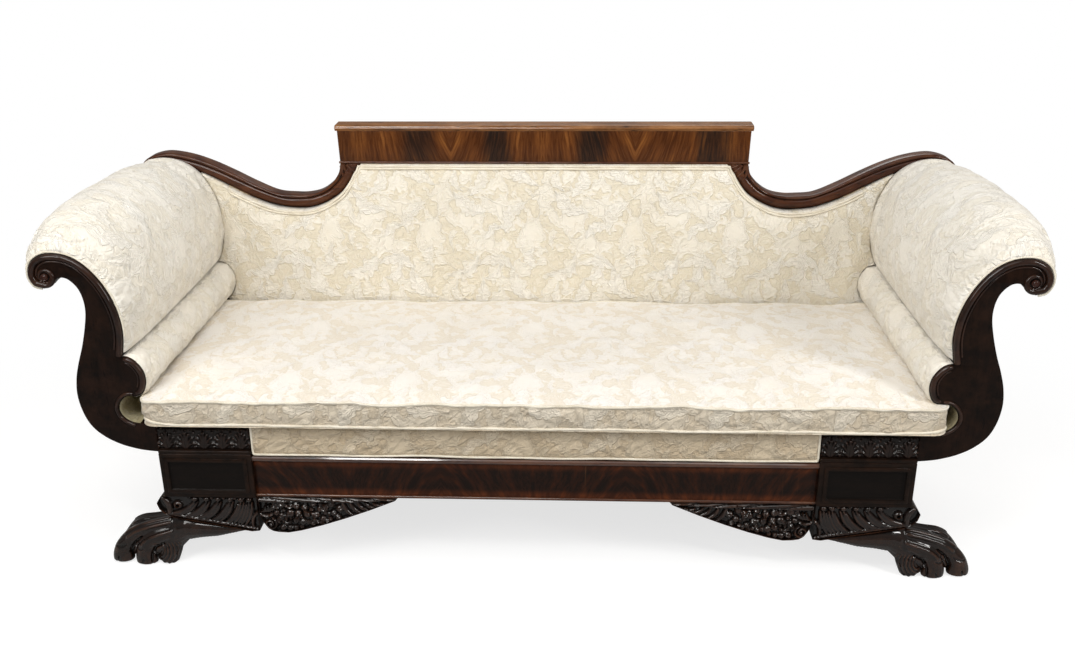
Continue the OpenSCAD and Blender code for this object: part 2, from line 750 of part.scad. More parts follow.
// Cord along the joint of the stuffing and the facing
module arm_cord_solid() {
    path = shifted([for (i = [1:len(edge) - 3]) edge[i]], welt_d / 2 + gap);
    color(damask_pale) cord(path, welt_d, front_y + welt_d / 2);
}
module arm_cord_left() {
    left_side() arm_cord_solid();
}
module arm_cord_right() {
    arm_cord_solid();
}

// Cover outside the arm, along the hollow edge of the facing, and the cloth in the notch
module outside_arm_solid() {
    y_from = front_y + facing_t;
    pocket = [for (i = [1:len(notch) - 4]) notch[i]];
    hollow = [for (i = [1:len(under) - 1]) under[i]];
    color(damask) {
        board(strip(hollow, 0, -cover_t), y_from, back_frame_y);
        board(strip(pocket, 0, -cover_t), y_from, back_frame_y);
    }
}
module outside_arm_left() {
    left_side() outside_arm_solid();
}
module outside_arm_right() {
    outside_arm_solid();
}

// Back

// Serpentine rail with a raised lip along its top edge
module back_rail_solid() {
    lip = strip([for (i = [2:len(rail_top) - 1]) rail_top[i]], 0, rail_lip_h);
    pad_rear = swollen(pad_edge, [for (s = pad_swell) s * rear_share + slack]);
    pad_end = concat(pad_rear, [[half_seat, pad_rear[len(pad_rear) - 1][1]]], under);
    color(mahogany) difference() {
        union() {
            board(rail_outline, rail_face_y, frame_back_y);
            board(lip, rail_face_y - rail_lip_proud, frame_back_y);
        }
        board(pad_end, rail_face_y - rail_lip_proud - cut, rail_face_y);
    }
}
module back_rail_left() {
    left_side() back_rail_solid();
}
module back_rail_right() {
    back_rail_solid();
}

// Uprights of the back frame, rebated over the seat webbing
module back_stiles() {
    z_top = z_crest - stile_w;
    third = crest_w / 6;
    x_out = half_seat;
    x_in = half_seat - stile_w;
    top = [for (p = reversed(rail_low)) if (p[0] > x_in && p[0] < x_out) p];
    side = concat([[x_in, z_seat], [x_out, z_seat], [x_out, rail_low_z(x_out)]], top,
        [[x_in, rail_low_z(x_in)]]);
    color(poplar) difference() {
        union() {
            board(side, back_frame_y, frame_back_y);
            left_side() board(side, back_frame_y, frame_back_y);
            for (x = [-third, third]) block([x - stile_w / 2, back_frame_y, z_seat],
                [x + stile_w / 2, frame_back_y, z_top]);
        }
        block([-half_seat - cut, back_frame_y - cut, z_seat - cut],
            [half_seat + cut, back_frame_y + stile_t / 2, z_seat + 2 * web_t]);
    }
}

// Top rail of the back frame, scarfed between the two serpentine rails
module back_top_rail() {
    z_low = z_crest - stile_w;
    side = [for (p = rail_low) if (p[1] > z_low && p[0] < crest_w / 2) p];
    reach = lookup(-z_low, [for (p = rail_low) if (p[0] < crest_w / 2) [-p[1], p[0]]]);
    right = concat([[reach, z_low]], reversed(side));
    color(poplar) board(concat(right, mirrored(right)), back_frame_y, frame_back_y);
}

// Webbing straps in front of the back frame
module back_webbing() {
    z_low = z_seat + web_w / 2;
    run = rail_low_z(half_seat - 2 * stile_w) - z_low - 2 * web_w;
    color(jute) for (i = [0:2]) {
        z = z_low + i * run / 2;
        block([-half_seat + stile_w / 2, back_frame_y - web_t, z],
            [half_seat - stile_w / 2, back_frame_y, z + web_w]);
    }
}

// Outline of the back upholstery: up beside the roll and the arm, then under the rails
roll_side = reversed(swollen(roll_edge,
    [for (s = roll_out) max(s * roll_run_shares[3][1], 2 * slack) + slack]));
pad_side = [for (p = reversed(swollen(pad_edge, [for (s = pad_swell) s + slack])))
    if (p[0] < half_seat + facing_w / 2 && p[1] < rail_low_z(p[0]) - slack) p];
side_end = pad_side[len(pad_side) - 1];
rail_side = [for (p = reversed(rail_low)) if (p[0] < side_end[0] - slack) p - [0, slack]];
pad_foot_x = roll_side[2][0] - slack;
back_outline_right = concat([[pad_foot_x, z_deck + deck_t + slack]],
    [for (i = [2:len(roll_side) - 1]) roll_side[i]], pad_side, rail_side);
back_outline = concat(back_outline_right, mirrored(back_outline_right));

// Back upholstery: thick at the seat, thin under the crest and full in the middle
back_reach = half_seat + facing_w;
back_run = z_crest - z_deck;
function back_face(x, z) = let (v = min(max((z - z_deck) / back_run, 0), 1),
    full = back_pad_crown * max(cos(90 * x / back_reach), 0) * sin(180 * v),
    thick = blend(back_pad_foot_t, back_pad_top_t, pow(v, 0.8))) back_frame_y - thick - full;
module back_pad() {
    y_rear = back_frame_y - web_t - gap;
    cols = 24;
    rows = 8;
    rings = [for (i = [0:cols]) let (x = (2 * i / cols - 1) * back_reach) concat(
        [for (j = [0:rows]) let (z = z_deck + j / rows * back_run) [x, back_face(x, z), z]],
        [for (j = [rows:-1:0]) [x, y_rear, z_deck + j / rows * back_run]])];
    color(damask) intersection() {
        board(back_outline, front_y, y_rear);
        skin(reversed(rings));
    }
}

// Double cord along the top of the back upholstery
module back_gimp() {
    right = [for (p = shifted([for (i = [1:len(rail_low) - 7]) rail_low[i]], gimp_w / 2 + slack))
        if (p[0] < side_end[0] - gimp_w) p];
    path = concat(mirrored(right), right);
    faces = [for (p = path) back_face(p[0], p[1] - gimp_w / 2) - gap];
    color(damask_pale) half_round(path, gimp_w, gimp_w / 2, faces);
}

// Cloth on the outside of the back
module outside_back() {
    right = [for (p = reversed(rail_low)) if (p[0] < half_seat - slack) p - [0, slack]];
    z_low = z_seat - seat_rail_h;
    outline = concat([[half_seat, z_low], [half_seat, rail_low_z(half_seat) - slack]], right);
    color(damask) board(concat(outline, mirrored(outline)), frame_back_y, frame_back_y + web_t);
}

// Crest

// Veneered tablet that widens towards its top
module crest_tablet() {
    low = crest_w / 2;
    high = low + crest_flare;
    y_face = frame_back_y - back_rail_t + rail_lip_proud;
    color(flame_mahogany) board([[-low, z_crest], [low, z_crest], [high, z_cap], [-high, z_cap]],
        y_face, y_face + crest_t);
}

// Overhanging top moulding with a rounded front
module crest_cap() {
    nose = cap_h / 2;
    half = crest_w / 2 + cap_overhang;
    y_nose = back_y - cap_d + nose;
    color(mahogany) union() {
        block([-half, y_nose, z_cap], [half, back_y, z_cap + cap_h]);
        translate([-half, y_nose, z_cap + nose]) rotate([0, 90, 0])
            cylinder(2 * half, r = nose, $fn = 32);
    }
}

// Bead along the foot of the tablet
module crest_foot_bead() {
    r = foot_bead_h / 2;
    y_face = frame_back_y - back_rail_t + rail_lip_proud;
    color(mahogany) translate([-crest_w / 2, y_face - r, z_crest + r]) rotate([0, 90, 0])
        cylinder(crest_w, r = r, $fn = 24);
}

// Seat cushion

cushion_front_y = front_y - cushion_proud;
cushion_rear_y = back_frame_y - back_pad_foot_t - back_pad_crown / 2 - slack;
cushion_hx = half_seat + cushion_tuck;
cushion_hy = (cushion_rear_y - cushion_front_y) / 2;
cushion_mid_y = (cushion_rear_y + cushion_front_y) / 2;
cord_seat = cord_d + gap;
// Rings above the lower cord and below the upper one: share of that height, share of the draw
side_shares = [[0, 0.4], [0.5, 1], [1, 0.4]];
// Rings of the crown: inset as a share of the half depth, and share of the crown
crown_shares = [[0.1, 0.3], [0.28, 0.68], [0.55, 0.93], [0.8, 1]];
function cushion_ring(inset, z, draw) = [for (p = soft_ring(cushion_hx - inset,
    cushion_hy - inset, cushion_corner, draw)) [p[0], cushion_mid_y + p[1], z]];
module seat_cushion() {
    z_top = z_cushion + cushion_edge_t;
    z_low = z_cushion + cord_seat;
    z_high = z_top - cord_seat;
    bow = -gap;
    flat = [for (s = [0.8, 0.3]) cushion_ring(s * cushion_hy, z_cushion, s > 0.5 ? bow : 0)];
    sides = concat([cushion_ring(cord_seat, z_cushion, 0), cushion_ring(cord_seat, z_low, 0)],
        [for (s = side_shares) cushion_ring(gap, blend(z_low + gap, z_high - gap, s[0]),
        s[1] * cushion_draw)],
        [cushion_ring(cord_seat, z_high, 0), cushion_ring(cord_seat, z_top, 0)]);
    crown = [for (s = crown_shares) cushion_ring(s[0] * cushion_hy,
        z_top + s[1] * cushion_crown, s[0] > 0.7 ? bow : 0)];
    color(damask_pale) skin(concat(flat, sides, crown));
}

// Sewn cords round the top and the bottom edge of the cushion
module cushion_cords() {
    r = cord_d / 2;
    path = [for (p = soft_ring(cushion_hx - r, cushion_hy - r, cushion_corner - r, 0))
        [p[0], cushion_mid_y + p[1]]];
    color(damask_pale) {
        closed_cord(path, cord_d, z_cushion + r);
        closed_cord(path, cord_d, z_cushion + cushion_edge_t - r);
    }
}

front_leg_left();
front_leg_right();
leg_bracket_left();
leg_bracket_right();
rear_leg_left();
rear_leg_right();
panel_block_left();
panel_block_right();
panel_bead_left();
panel_bead_right();
frieze_block_left();
frieze_block_right();
lower_front_rail();
front_seat_rail();
rear_seat_rail();
side_rail_left();
side_rail_right();
cross_braces();
corner_blocks();
frame_screws();
seat_webbing();
deck_pad();
dust_cover();
front_panel();
front_panel_cord();
facing_left();
facing_right();
facing_moulding_left();
facing_moulding_right();
lobe_moulding_left();
lobe_moulding_right();
scroll_boss_left();
scroll_boss_right();
arm_post_left();
arm_post_right();
arm_rails_left();
arm_rails_right();
arm_webbing_left();
arm_webbing_right();
arm_pad_left();
arm_pad_right();
arm_roll_left();
arm_roll_right();
arm_cord_left();
arm_cord_right();
outside_arm_left();
outside_arm_right();
back_rail_left();
back_rail_right();
back_stiles();
back_top_rail();
back_webbing();
back_pad();
back_gimp();
outside_back();
crest_tablet();
crest_cap();
crest_foot_bead();
seat_cushion();
cushion_cords();
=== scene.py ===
import math

import bpy
import numpy as np
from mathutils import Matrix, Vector


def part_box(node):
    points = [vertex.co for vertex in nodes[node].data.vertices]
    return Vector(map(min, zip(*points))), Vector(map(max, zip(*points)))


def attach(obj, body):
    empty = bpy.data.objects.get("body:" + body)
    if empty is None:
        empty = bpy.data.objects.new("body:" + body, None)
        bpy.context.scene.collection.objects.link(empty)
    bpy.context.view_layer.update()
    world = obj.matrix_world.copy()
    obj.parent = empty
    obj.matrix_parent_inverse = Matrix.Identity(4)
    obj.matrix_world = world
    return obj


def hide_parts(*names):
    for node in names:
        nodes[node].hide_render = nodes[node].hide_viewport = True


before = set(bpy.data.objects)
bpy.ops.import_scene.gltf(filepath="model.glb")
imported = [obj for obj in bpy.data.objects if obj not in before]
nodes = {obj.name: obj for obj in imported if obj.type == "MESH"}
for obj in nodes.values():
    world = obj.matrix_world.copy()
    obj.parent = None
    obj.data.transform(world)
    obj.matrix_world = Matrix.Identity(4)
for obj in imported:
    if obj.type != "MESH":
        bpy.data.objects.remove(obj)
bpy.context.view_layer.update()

# ---------------------------------------------------------------- Studio
# A pale floor, a white surround and soft lamps overhead. The camera stands a little
# above the crest and looks down at the seat, with no shift.


def work_on(piece):
    """Makes one object the only selected and active one."""
    if bpy.context.mode != "OBJECT":
        bpy.ops.object.mode_set(mode="OBJECT")
    bpy.ops.object.select_all(action="DESELECT")
    piece.select_set(True)
    bpy.context.view_layer.objects.active = piece


def turn_outwards(piece, merge=False):
    """Turns all faces outwards, after joining points that lie on each other."""
    work_on(piece)
    bpy.ops.object.mode_set(mode="EDIT")
    bpy.ops.mesh.select_all(action="SELECT")
    if merge:
        bpy.ops.mesh.remove_doubles(threshold=0.00001)
    bpy.ops.mesh.normals_make_consistent(inside=False)
    bpy.ops.object.mode_set(mode="OBJECT")


def apply_places(piece):
    """Writes the place, turn and scale of an object into its points."""
    work_on(piece)
    bpy.ops.object.transform_apply(location=True, rotation=True, scale=True)


def put_in(name, data):
    """An object for a mesh or a curve, in the scene and selected."""
    made = bpy.data.objects.new(name, data)
    scene.collection.objects.link(made)
    work_on(made)
    return made


def skin(name, places, faces):
    """A mesh through points."""
    mesh = bpy.data.meshes.new(name)
    mesh.from_pydata([tuple(p) for p in places], [], faces)
    return mesh


def feed(socket, value):
    """Links a value to a socket, or sets it there."""
    if isinstance(value, bpy.types.NodeSocket):
        socket.id_data.links.new(value, socket)
    else:
        socket.default_value = value


def add(tree, kind, links=None, **settings):
    """Adds a node, with its settings, and sets or links its inputs."""
    made = tree.nodes.new(kind)
    for name, value in settings.items():
        setattr(made, name, value)
    for name, value in (links or {}).items():
        feed(made.inputs[name], value)
    return made


def calc(operation, *values, clamp=False):
    """Adds a Math node where its first linked value is, and gives its result."""
    tree = next(v for v in values if isinstance(v, bpy.types.NodeSocket)).id_data
    return add(tree, "ShaderNodeMath", dict(enumerate(values)), operation=operation, use_clamp=clamp).outputs[0]


def times(a, b, clamp=False):
    """The product of two values."""
    return calc("MULTIPLY", a, b, clamp=clamp)


def span(value, low, high, first=0, last=1, kind="LINEAR"):
    """Maps the values from low to high on the values from first to last."""
    links = {"Value": value, "From Min": low, "From Max": high, "To Min": first, "To Max": last}
    return add(value.id_data, "ShaderNodeMapRange", links, interpolation_type=kind).outputs[0]


bpy.ops.object.select_all(action="DESELECT")
scene = bpy.context.scene
scene.view_settings.view_transform = "Standard"

bpy.ops.object.camera_add(
    location=(0.115, -2.5428, 1.5051),
    rotation=[math.radians(a) for a in (68.014, 0.488, 2.449)],
)
camera = bpy.context.object
camera.data.sensor_fit = "HORIZONTAL"
camera.data.sensor_width = 36
camera.data.lens = 36.84
camera.data.dof.use_dof = False
scene.camera = camera

bpy.ops.mesh.primitive_plane_add(size=30)
floor = bpy.context.object
floor.name = "studio_floor"
floor_paint = bpy.data.materials.new("pale_floor")
floor_paint.use_nodes = True
tree = floor_paint.node_tree
tree.nodes.clear()
light_path = add(tree, "ShaderNodeLightPath")
matt = add(tree, "ShaderNodeBsdfDiffuse", {"Color": (0.5, 0.5, 0.5, 1)})
pale = add(tree, "ShaderNodeBsdfDiffuse", {"Color": (0.38, 0.38, 0.38, 1)})
lift = add(tree, "ShaderNodeEmission", {"Color": (1, 1, 1, 1), "Strength": 0.72})
both = add(tree, "ShaderNodeAddShader", {0: pale.outputs[0], 1: lift.outputs[0]})
far_white = add(tree, "ShaderNodeEmission", {"Color": (1, 1, 1, 1), "Strength": 1.0})
flat = add(tree, "ShaderNodeVectorMath", {0: add(tree, "ShaderNodeTexCoord").outputs["Object"]}, operation="LENGTH")
distance = span(flat.outputs["Value"], 1.25, 2.1, kind="SMOOTHSTEP")
faded = add(tree, "ShaderNodeMixShader", {0: distance, 1: both.outputs[0], 2: far_white.outputs[0]})
seen = add(tree, "ShaderNodeMixShader",
    {0: light_path.outputs["Is Camera Ray"], 1: matt.outputs[0], 2: faded.outputs[0]})
add(tree, "ShaderNodeOutputMaterial", {"Surface": seen.outputs[0]})
floor.data.materials.append(floor_paint)

world = bpy.data.worlds.new("white_surround")
scene.world = world
world.use_nodes = True
tree = world.node_tree
tree.nodes.clear()
light_path = add(tree, "ShaderNodeLightPath")
ambient = add(tree, "ShaderNodeBackground", {"Color": (1, 0.985, 0.96, 1), "Strength": 0.26})
white = add(tree, "ShaderNodeBackground", {"Color": (1, 1, 1, 1), "Strength": 1})
surround = add(tree, "ShaderNodeMixShader",
    {0: light_path.outputs["Is Camera Ray"], 1: ambient.outputs[0], 2: white.outputs[0]})
add(tree, "ShaderNodeOutputWorld", {"Surface": surround.outputs[0]})


def lamp(name, place, aim, size, watts, tint):
    """A rectangular soft lamp aimed at a point."""
    bpy.ops.object.light_add(type="AREA", location=place)
    soft = bpy.context.object
    soft.name = name
    soft.data.shape = "RECTANGLE"
    soft.data.size, soft.data.size_y = size
    soft.data.energy = watts
    soft.data.color = tint
    soft.rotation_euler = (Vector(aim) - Vector(place)).to_track_quat("-Z", "Y").to_euler()
    return soft


lamp("overhead", (-0.3, -0.9, 2.9), (0, 0, 0.3), (3.4, 1.3), 28, (1, 0.985, 0.96))
lamp("high_strip", (-0.9, -2.0, 3.0), (0, 0, 0.4), (2.0, 0.2), 32, (1, 0.99, 0.97))
lamp("right_strip", (2.6, -1.8, 1.9), (-0.4, 0, 0.5), (0.3, 1.4), 44, (1, 0.99, 0.97))
lamp("left_soft", (-2.1, -2.2, 2.0), (0.6, 0, 0.5), (1.0, 1.2), 30, (1, 0.99, 0.97))
polish_lamp = lamp("polish_strip", (-0.7, -2.3, 2.3), (0, -0.3, 0.2), (1.5, 0.55), 30, (1, 0.99, 0.97))
polish_lamp.visible_diffuse = False
lamp("back_rim", (0.6, 2.2, 2.2), (0, 0, 0.7), (2.4, 0.8), 20, (1, 0.99, 0.97))

# ---------------------------------------------------------------- Hidden frame
# Bare secondary wood, sawn and glued: seat rails, braces, corner blocks, the rails inside
# the arms and the uprights of the back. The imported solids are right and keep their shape.


def new_group(name, inputs, outputs):
    """A shader node group with named inputs and outputs, and its two end nodes."""
    group = bpy.data.node_groups.new(name, "ShaderNodeTree")
    for title, value in inputs.items():
        kind = "NodeSocketFloat" if isinstance(value, float) else "NodeSocketVector"
        group.interface.new_socket(name=title, in_out="INPUT", socket_type=kind).default_value = value
    for title in outputs:
        group.interface.new_socket(name=title, in_out="OUTPUT", socket_type="NodeSocketFloat")
    return group, add(group, "NodeGroupInput").outputs, add(group, "NodeGroupOutput").inputs


def use_group(tree, group, links):
    """Places a node group in a material and gives its outputs."""
    placed = add(tree, "ShaderNodeGroup", node_tree=group)
    for name, value in links.items():
        feed(placed.inputs[name], value)
    return placed.outputs


def noise(vector, scale, detail, roughness=0.5, distortion=0.0, give="Fac"):
    """Noise over coordinates."""
    links = {"Vector": vector, "Scale": scale, "Detail": detail, "Roughness": roughness, "Distortion": distortion}
    return add(vector.id_data, "ShaderNodeTexNoise", links).outputs[give]


def move_by(operation, *vectors):
    """A sum, a product or another result of coordinates."""
    tree = next(v for v in vectors if isinstance(v, bpy.types.NodeSocket)).id_data
    return add(tree, "ShaderNodeVectorMath", dict(enumerate(vectors)), operation=operation).outputs[0]


def object_place(tree):
    """Coordinates of the piece itself, in metres."""
    return add(tree, "ShaderNodeTexCoord").outputs["Object"]


def cloth_place(tree):
    """Coordinates on the cut cloth, in metres."""
    return add(tree, "ShaderNodeUVMap", uv_map="cloth").outputs[0]


def axes_of(vector):
    """The three parts of coordinates."""
    return add(vector.id_data, "ShaderNodeSeparateXYZ", {0: vector}).outputs


def bump_up(shader, strength, distance, height, invert=False):
    """Raises a material by a height value."""
    links = {"Strength": strength, "Distance": distance, "Height": height}
    feed(shader.inputs["Normal"], add(height.id_data, "ShaderNodeBump", links, invert=invert).outputs[0])


def ramp(tree, factor, stops, interpolation="LINEAR"):
    """A colour ramp through (position, colour) stops."""
    made = add(tree, "ShaderNodeValToRGB", {"Fac": factor})
    made.color_ramp.interpolation = interpolation
    elements = made.color_ramp.elements
    while len(elements) < len(stops):
        elements.new(0.5)
    for element, (position, colour) in zip(elements, stops):
        element.position = position
        element.color = (*colour, 1)
    return made.outputs["Color"]


def blend_colours(tree, factor, a, b):
    """A Mix node for colours."""
    made = add(tree, "ShaderNodeMix", data_type="RGBA")
    for place, value in ((0, factor), (6, a), (7, b)):
        feed(made.inputs[place], (*value, 1) if isinstance(value, tuple) else value)
    return made.outputs[2]


def new_material(name, **constants):
    """A material with a Principled BSDF whose plain values are set on its own sockets."""
    made = bpy.data.materials.new(name)
    made.use_nodes = True
    shader = made.node_tree.nodes["Principled BSDF"]
    for title, value in constants.items():
        shader.inputs[title.replace("_", " ")].default_value = value
    return made, made.node_tree, shader


# Grain: long figure and short dark pores, from coordinates stretched along the plank
grain, start, end = new_group(
    "timber_grain",
    {"Vector": (0, 0, 0), "Stretch": (2, 30, 30)},
    ["Figure", "Pores"],
)
stretched = move_by("MULTIPLY", start["Vector"], start["Stretch"])
broad = noise(stretched, 1.0, 6.0, 0.6, 0.7)
fine = noise(stretched, 6.0, 3.0, 0.7)
pores = span(fine, 0.56, 0.7)
feed(end["Figure"], broad)
feed(end["Pores"], pores)


def timber(name, stretch, colours, pore_colour, roughness, **constants):
    """A wood material: figure colours, darker pores, roughness that follows the figure."""
    made, tree, shader = new_material(name, **constants)
    place = object_place(tree)
    wood = use_group(tree, grain, {"Vector": place, "Stretch": stretch})
    figure = ramp(tree, wood["Figure"], colours)
    colour = blend_colours(tree, wood["Pores"], figure, pore_colour)
    rough = calc("MULTIPLY_ADD", wood["Figure"], 0.2, roughness)
    feed(shader.inputs["Base Color"], colour)
    feed(shader.inputs["Roughness"], rough)
    bump_up(shader, 0.25, 0.0004, wood["Pores"], invert=True)
    return made, tree, shader, colour


def finish_solids(names, material):
    """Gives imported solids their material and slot."""
    for name in names:
        nodes[name].data.materials.clear()
        nodes[name].data.materials.append(material)


bare_wood = timber("bare_secondary_wood", (2, 34, 34), [(0.3, (0.44, 0.31, 0.17)), (0.7, (0.6, 0.46, 0.28))],
    (0.3, 0.2, 0.11), 0.6)[0]
finish_solids(("front_seat_rail", "rear_seat_rail", "side_rail_left", "side_rail_right", "cross_braces",
    "corner_blocks", "arm_rails_left", "arm_rails_right", "back_stiles", "back_top_rail"), bare_wood)

# Sunk screws of plain steel, dulled by age
steel, tree, shader = new_material("screw_steel", Metallic=1.0)
dull = add(tree, "ShaderNodeTexNoise", {"Scale": 900.0, "Detail": 3.0})
feed(shader.inputs["Base Color"],
    ramp(tree, dull.outputs["Fac"], [(0.3, (0.3, 0.28, 0.26)), (0.7, (0.48, 0.47, 0.46))]))
feed(shader.inputs["Roughness"], calc("MULTIPLY_ADD", dull.outputs["Fac"], 0.3, 0.3))
finish_solids(["frame_screws"], steel)

# ---------------------------------------------------------------- Front legs
# Each leg is carved from solid mahogany: an acanthus knee under the block, a smooth shank
# that grows out of it, and a paw whose tendons fan out to the toes. Left is right, mirrored.

# Wear on carved ridges, painted shade in the hollows
wear, start, end = new_group(
    "carving_wear_and_shade",
    {"Relief": 0.5, "Shade strength": 0.5, "Rub": 0.5},
    ["Hollow", "Worn"],
)
place = object_place(wear)
patches = noise(place, 26.0, 5.0, 0.65)
pointed = add(wear, "ShaderNodeNewGeometry").outputs["Pointiness"]
ridge = span(pointed, 0.505, 0.56)
high = span(start["Relief"], 0.55, 1.0)
rubbed = calc("MAXIMUM", ridge, times(high, 0.6))
patchy = span(patches, 0.4, 0.66)
worn = times(times(rubbed, patchy), start["Rub"], clamp=True)
# Painted shade: darker where the carving lies low and where the surface is hollow
low = span(start["Relief"], 0.0, 0.35, 1.0, 0.0)
sunk = span(pointed, 0.44, 0.5, 1.0, 0.0)
hollow = times(calc("MAXIMUM", low, sunk), start["Shade strength"], clamp=True)
feed(end["Hollow"], hollow)
feed(end["Worn"], worn)


def polish(coat, coat_roughness, level):
    """The values of a polished coat over wood."""
    return {"Coat Weight": coat, "Coat Roughness": coat_roughness, "Specular IOR Level": level}


def carved_timber(name, stretch, colours, rub, rub_colour, *finish):
    """Dark wood with a polish (coat, its roughness, gloss) whose relief attribute drives painted shade in the hollows
    and wear on the ridges.
    """
    made, tree, shader, colour = timber(name, stretch, colours, (0.002, 0.001, 0.0008), 0.3, **polish(*finish))
    relief = add(tree, "ShaderNodeAttribute", attribute_name="relief").outputs["Fac"]
    marks = use_group(tree, wear, {"Relief": relief, "Shade strength": 0.75, "Rub": rub})
    # The hollows are painted darker, as shade
    hollow_shaded = blend_colours(tree, marks["Hollow"], colour, (0.0035, 0.0025, 0.002))
    rubbed = blend_colours(tree, marks["Worn"], hollow_shaded, rub_colour)
    feed(shader.inputs["Base Color"], rubbed)
    rough = shader.inputs["Roughness"].links[0].from_socket
    feed(shader.inputs["Roughness"], calc("MULTIPLY_ADD", marks["Hollow"], 0.35, rough))
    return made


DARK = [(0.3, (0.004, 0.0024, 0.0017)), (0.7, (0.0135, 0.0058, 0.0036))]
carved_wood = carved_timber("carved_mahogany", (9, 60, 60), DARK, 0.8, (0.065, 0.026, 0.013),
                            0.75, 0.05, 0.08)
paw_wood = carved_timber("carved_paw_mahogany", (12, 60, 60), DARK, 0.8, (0.085, 0.034, 0.016),
                         0.8, 0.05, 0.04)


def cut_board(name, outline, y_from, y_to, round_over):
    """A board sawn to an outline seen from the front, with its edges rounded over."""
    curve = bpy.data.curves.new(name, "CURVE")
    curve.dimensions = "2D"
    curve.fill_mode = "BOTH"
    curve.extrude = (y_to - y_from) / 2 - round_over
    curve.bevel_depth = round_over
    curve.bevel_resolution = 2
    curve.offset = -round_over
    spline = curve.splines.new("POLY")
    spline.points.add(len(outline) - 1)
    spline.points.foreach_set("co", [c for x, z in outline for c in (x, z, 0, 1)])
    spline.use_cyclic_u = True
    board = put_in(name, curve)
    board.location = (0, (y_from + y_to) / 2, 0)
    board.rotation_euler = (math.pi / 2, 0, 0)
    bpy.ops.object.convert(target="MESH")
    board = bpy.context.object
    apply_places(board)
    turn_outwards(board, merge=True)
    return board


def remesh(piece, voxel, smooth_factor, smooth_times):
    """Turns joined lumps into one even skin, and softens it."""
    work_on(piece)
    piece.data.remesh_voxel_size = voxel
    bpy.ops.object.voxel_remesh()
    if smooth_times:
        softened = piece.modifiers.new("soften", "SMOOTH")
        softened.factor = smooth_factor
        softened.iterations = smooth_times
        bpy.ops.object.modifier_apply(modifier=softened.name)


def points_of(piece, what="co"):
    """Vertex places or normals as an array."""
    values = np.zeros(len(piece.data.vertices) * 3, np.float32)
    if what == "normal":
        piece.data.vertices.foreach_get("normal", values)
    else:
        piece.data.vertices.foreach_get("co", values)
    return values.reshape(-1, 3).astype(float)


def set_points(piece, places):
    """Puts the vertices at new places."""
    piece.data.vertices.foreach_set("co", places.astype(np.float32).ravel())
    piece.data.update()


def mark(piece, name, values):
    """Stores one number per vertex for the material."""
    layer = piece.data.attributes.get(name) or piece.data.attributes.new(name, "FLOAT", "POINT")
    layer.data.foreach_set("value", np.asarray(values, np.float32))


def path_distance(x, z, path):
    """Distance of each point to a line through points, and how far along it is, 0 to 1."""
    path = np.asarray(path, float)
    steps = np.hypot(*(path[1:] - path[:-1]).T)
    total, run = steps.sum(), 0.0
    best, share = np.full(x.shape, 1e9), np.zeros(x.shape)
    for a, b, step in zip(path[:-1], path[1:], steps):
        t = np.clip(((x - a[0]) * (b[0] - a[0]) + (z - a[1]) * (b[1] - a[1])) / step**2, 0, 1)
        d = np.hypot(x - a[0] - t * (b[0] - a[0]), z - a[1] - t * (b[1] - a[1]))
        share = np.where(d < best, (run + t * step) / total, share)
        best = np.minimum(d, best)
        run += step
    return best, share


def bowed(a, b, bow, count=9):
    """Points from a to b on an arc that swings out by bow."""
    a, b = np.array(a, float), np.array(b, float)
    side = np.array([-(b - a)[1], (b - a)[0]]) / np.hypot(*(b - a))
    return [a + (b - a) * t + side * bow * math.sin(math.pi * t) for t in np.linspace(0, 1, count)]


def ridge_height(x, z, path, width, height, taper=0.5):
    """A rounded ridge along a path, thinner towards both ends."""
    d, t = path_distance(x, z, path)
    w = width * (1 - taper + taper * np.sin(np.pi * np.clip(t, 0.02, 0.98)))
    return height * np.sqrt(np.clip(1 - (d / w) ** 2, 0, 1))


def ball_height(x, z, centre, radius, height):
    """A rounded knob."""
    d = np.hypot(x - centre[0], z - centre[1])
    return height * np.sqrt(np.clip(1 - (d / radius) ** 2, 0, 1))


def raised_to(height, x, z, ridges=(), balls=()):
    """A relief with ridges (path, width, height, taper) and knobs (centre, radius, height) added."""
    for ridge in ridges:
        height = np.maximum(height, ridge_height(x, z, *ridge))
    for ball in balls:
        height = np.maximum(height, ball_height(x, z, *ball))
    return height


def carve(piece, relief, deepest):
    """Moves the front of a piece in and out by a relief in metres, and marks its height for the wear and the painted
    shade.
    """
    places, normals = points_of(piece), points_of(piece, "normal")
    facing = np.clip((-normals[:, 1] - 0.35) / 0.4, 0, 1)
    height = relief(places[:, 0], places[:, 2])
    places[:, 1] -= facing * (height - deepest)
    set_points(piece, places)
    mark(piece, "relief", np.where(facing > 0.3, height / deepest, 0.75))


def flip(piece):
    """Mirrors a piece to the other side."""
    piece.scale = (-1, 1, 1)
    apply_places(piece)
    turn_outwards(piece)


def mirror_copy(piece, name):
    """The same piece for the other side, with its own mesh."""
    work_on(piece)
    bpy.ops.object.duplicate(linked=False)
    twin = bpy.context.object
    twin.name = name
    twin.parent = None
    for title in [key for key in twin.keys() if key.startswith("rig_")]:
        del twin[title]
    flip(twin)
    return twin


def join(piece, others):
    """Joins other pieces to one piece."""
    work_on(piece)
    for other in others:
        other.select_set(True)
    bpy.ops.object.join()
    return piece


def shade(piece, degrees=40):
    """Smooth shading that keeps the sharper edges."""
    work_on(piece)
    bpy.ops.object.shade_smooth_by_angle(angle=math.radians(degrees))


def dress(piece, material, slot, body, *replaced):
    """Gives a piece its material and its body, and names the solids it stands for. The slot is not used."""
    piece.data.materials.clear()
    piece.data.materials.append(material)
    if "mahogany" in material.name and "relief" not in piece.data.attributes:
        mark(piece, "relief", np.full(len(piece.data.vertices), 0.5))
    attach(piece, body)
    if replaced:
        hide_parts(*replaced)


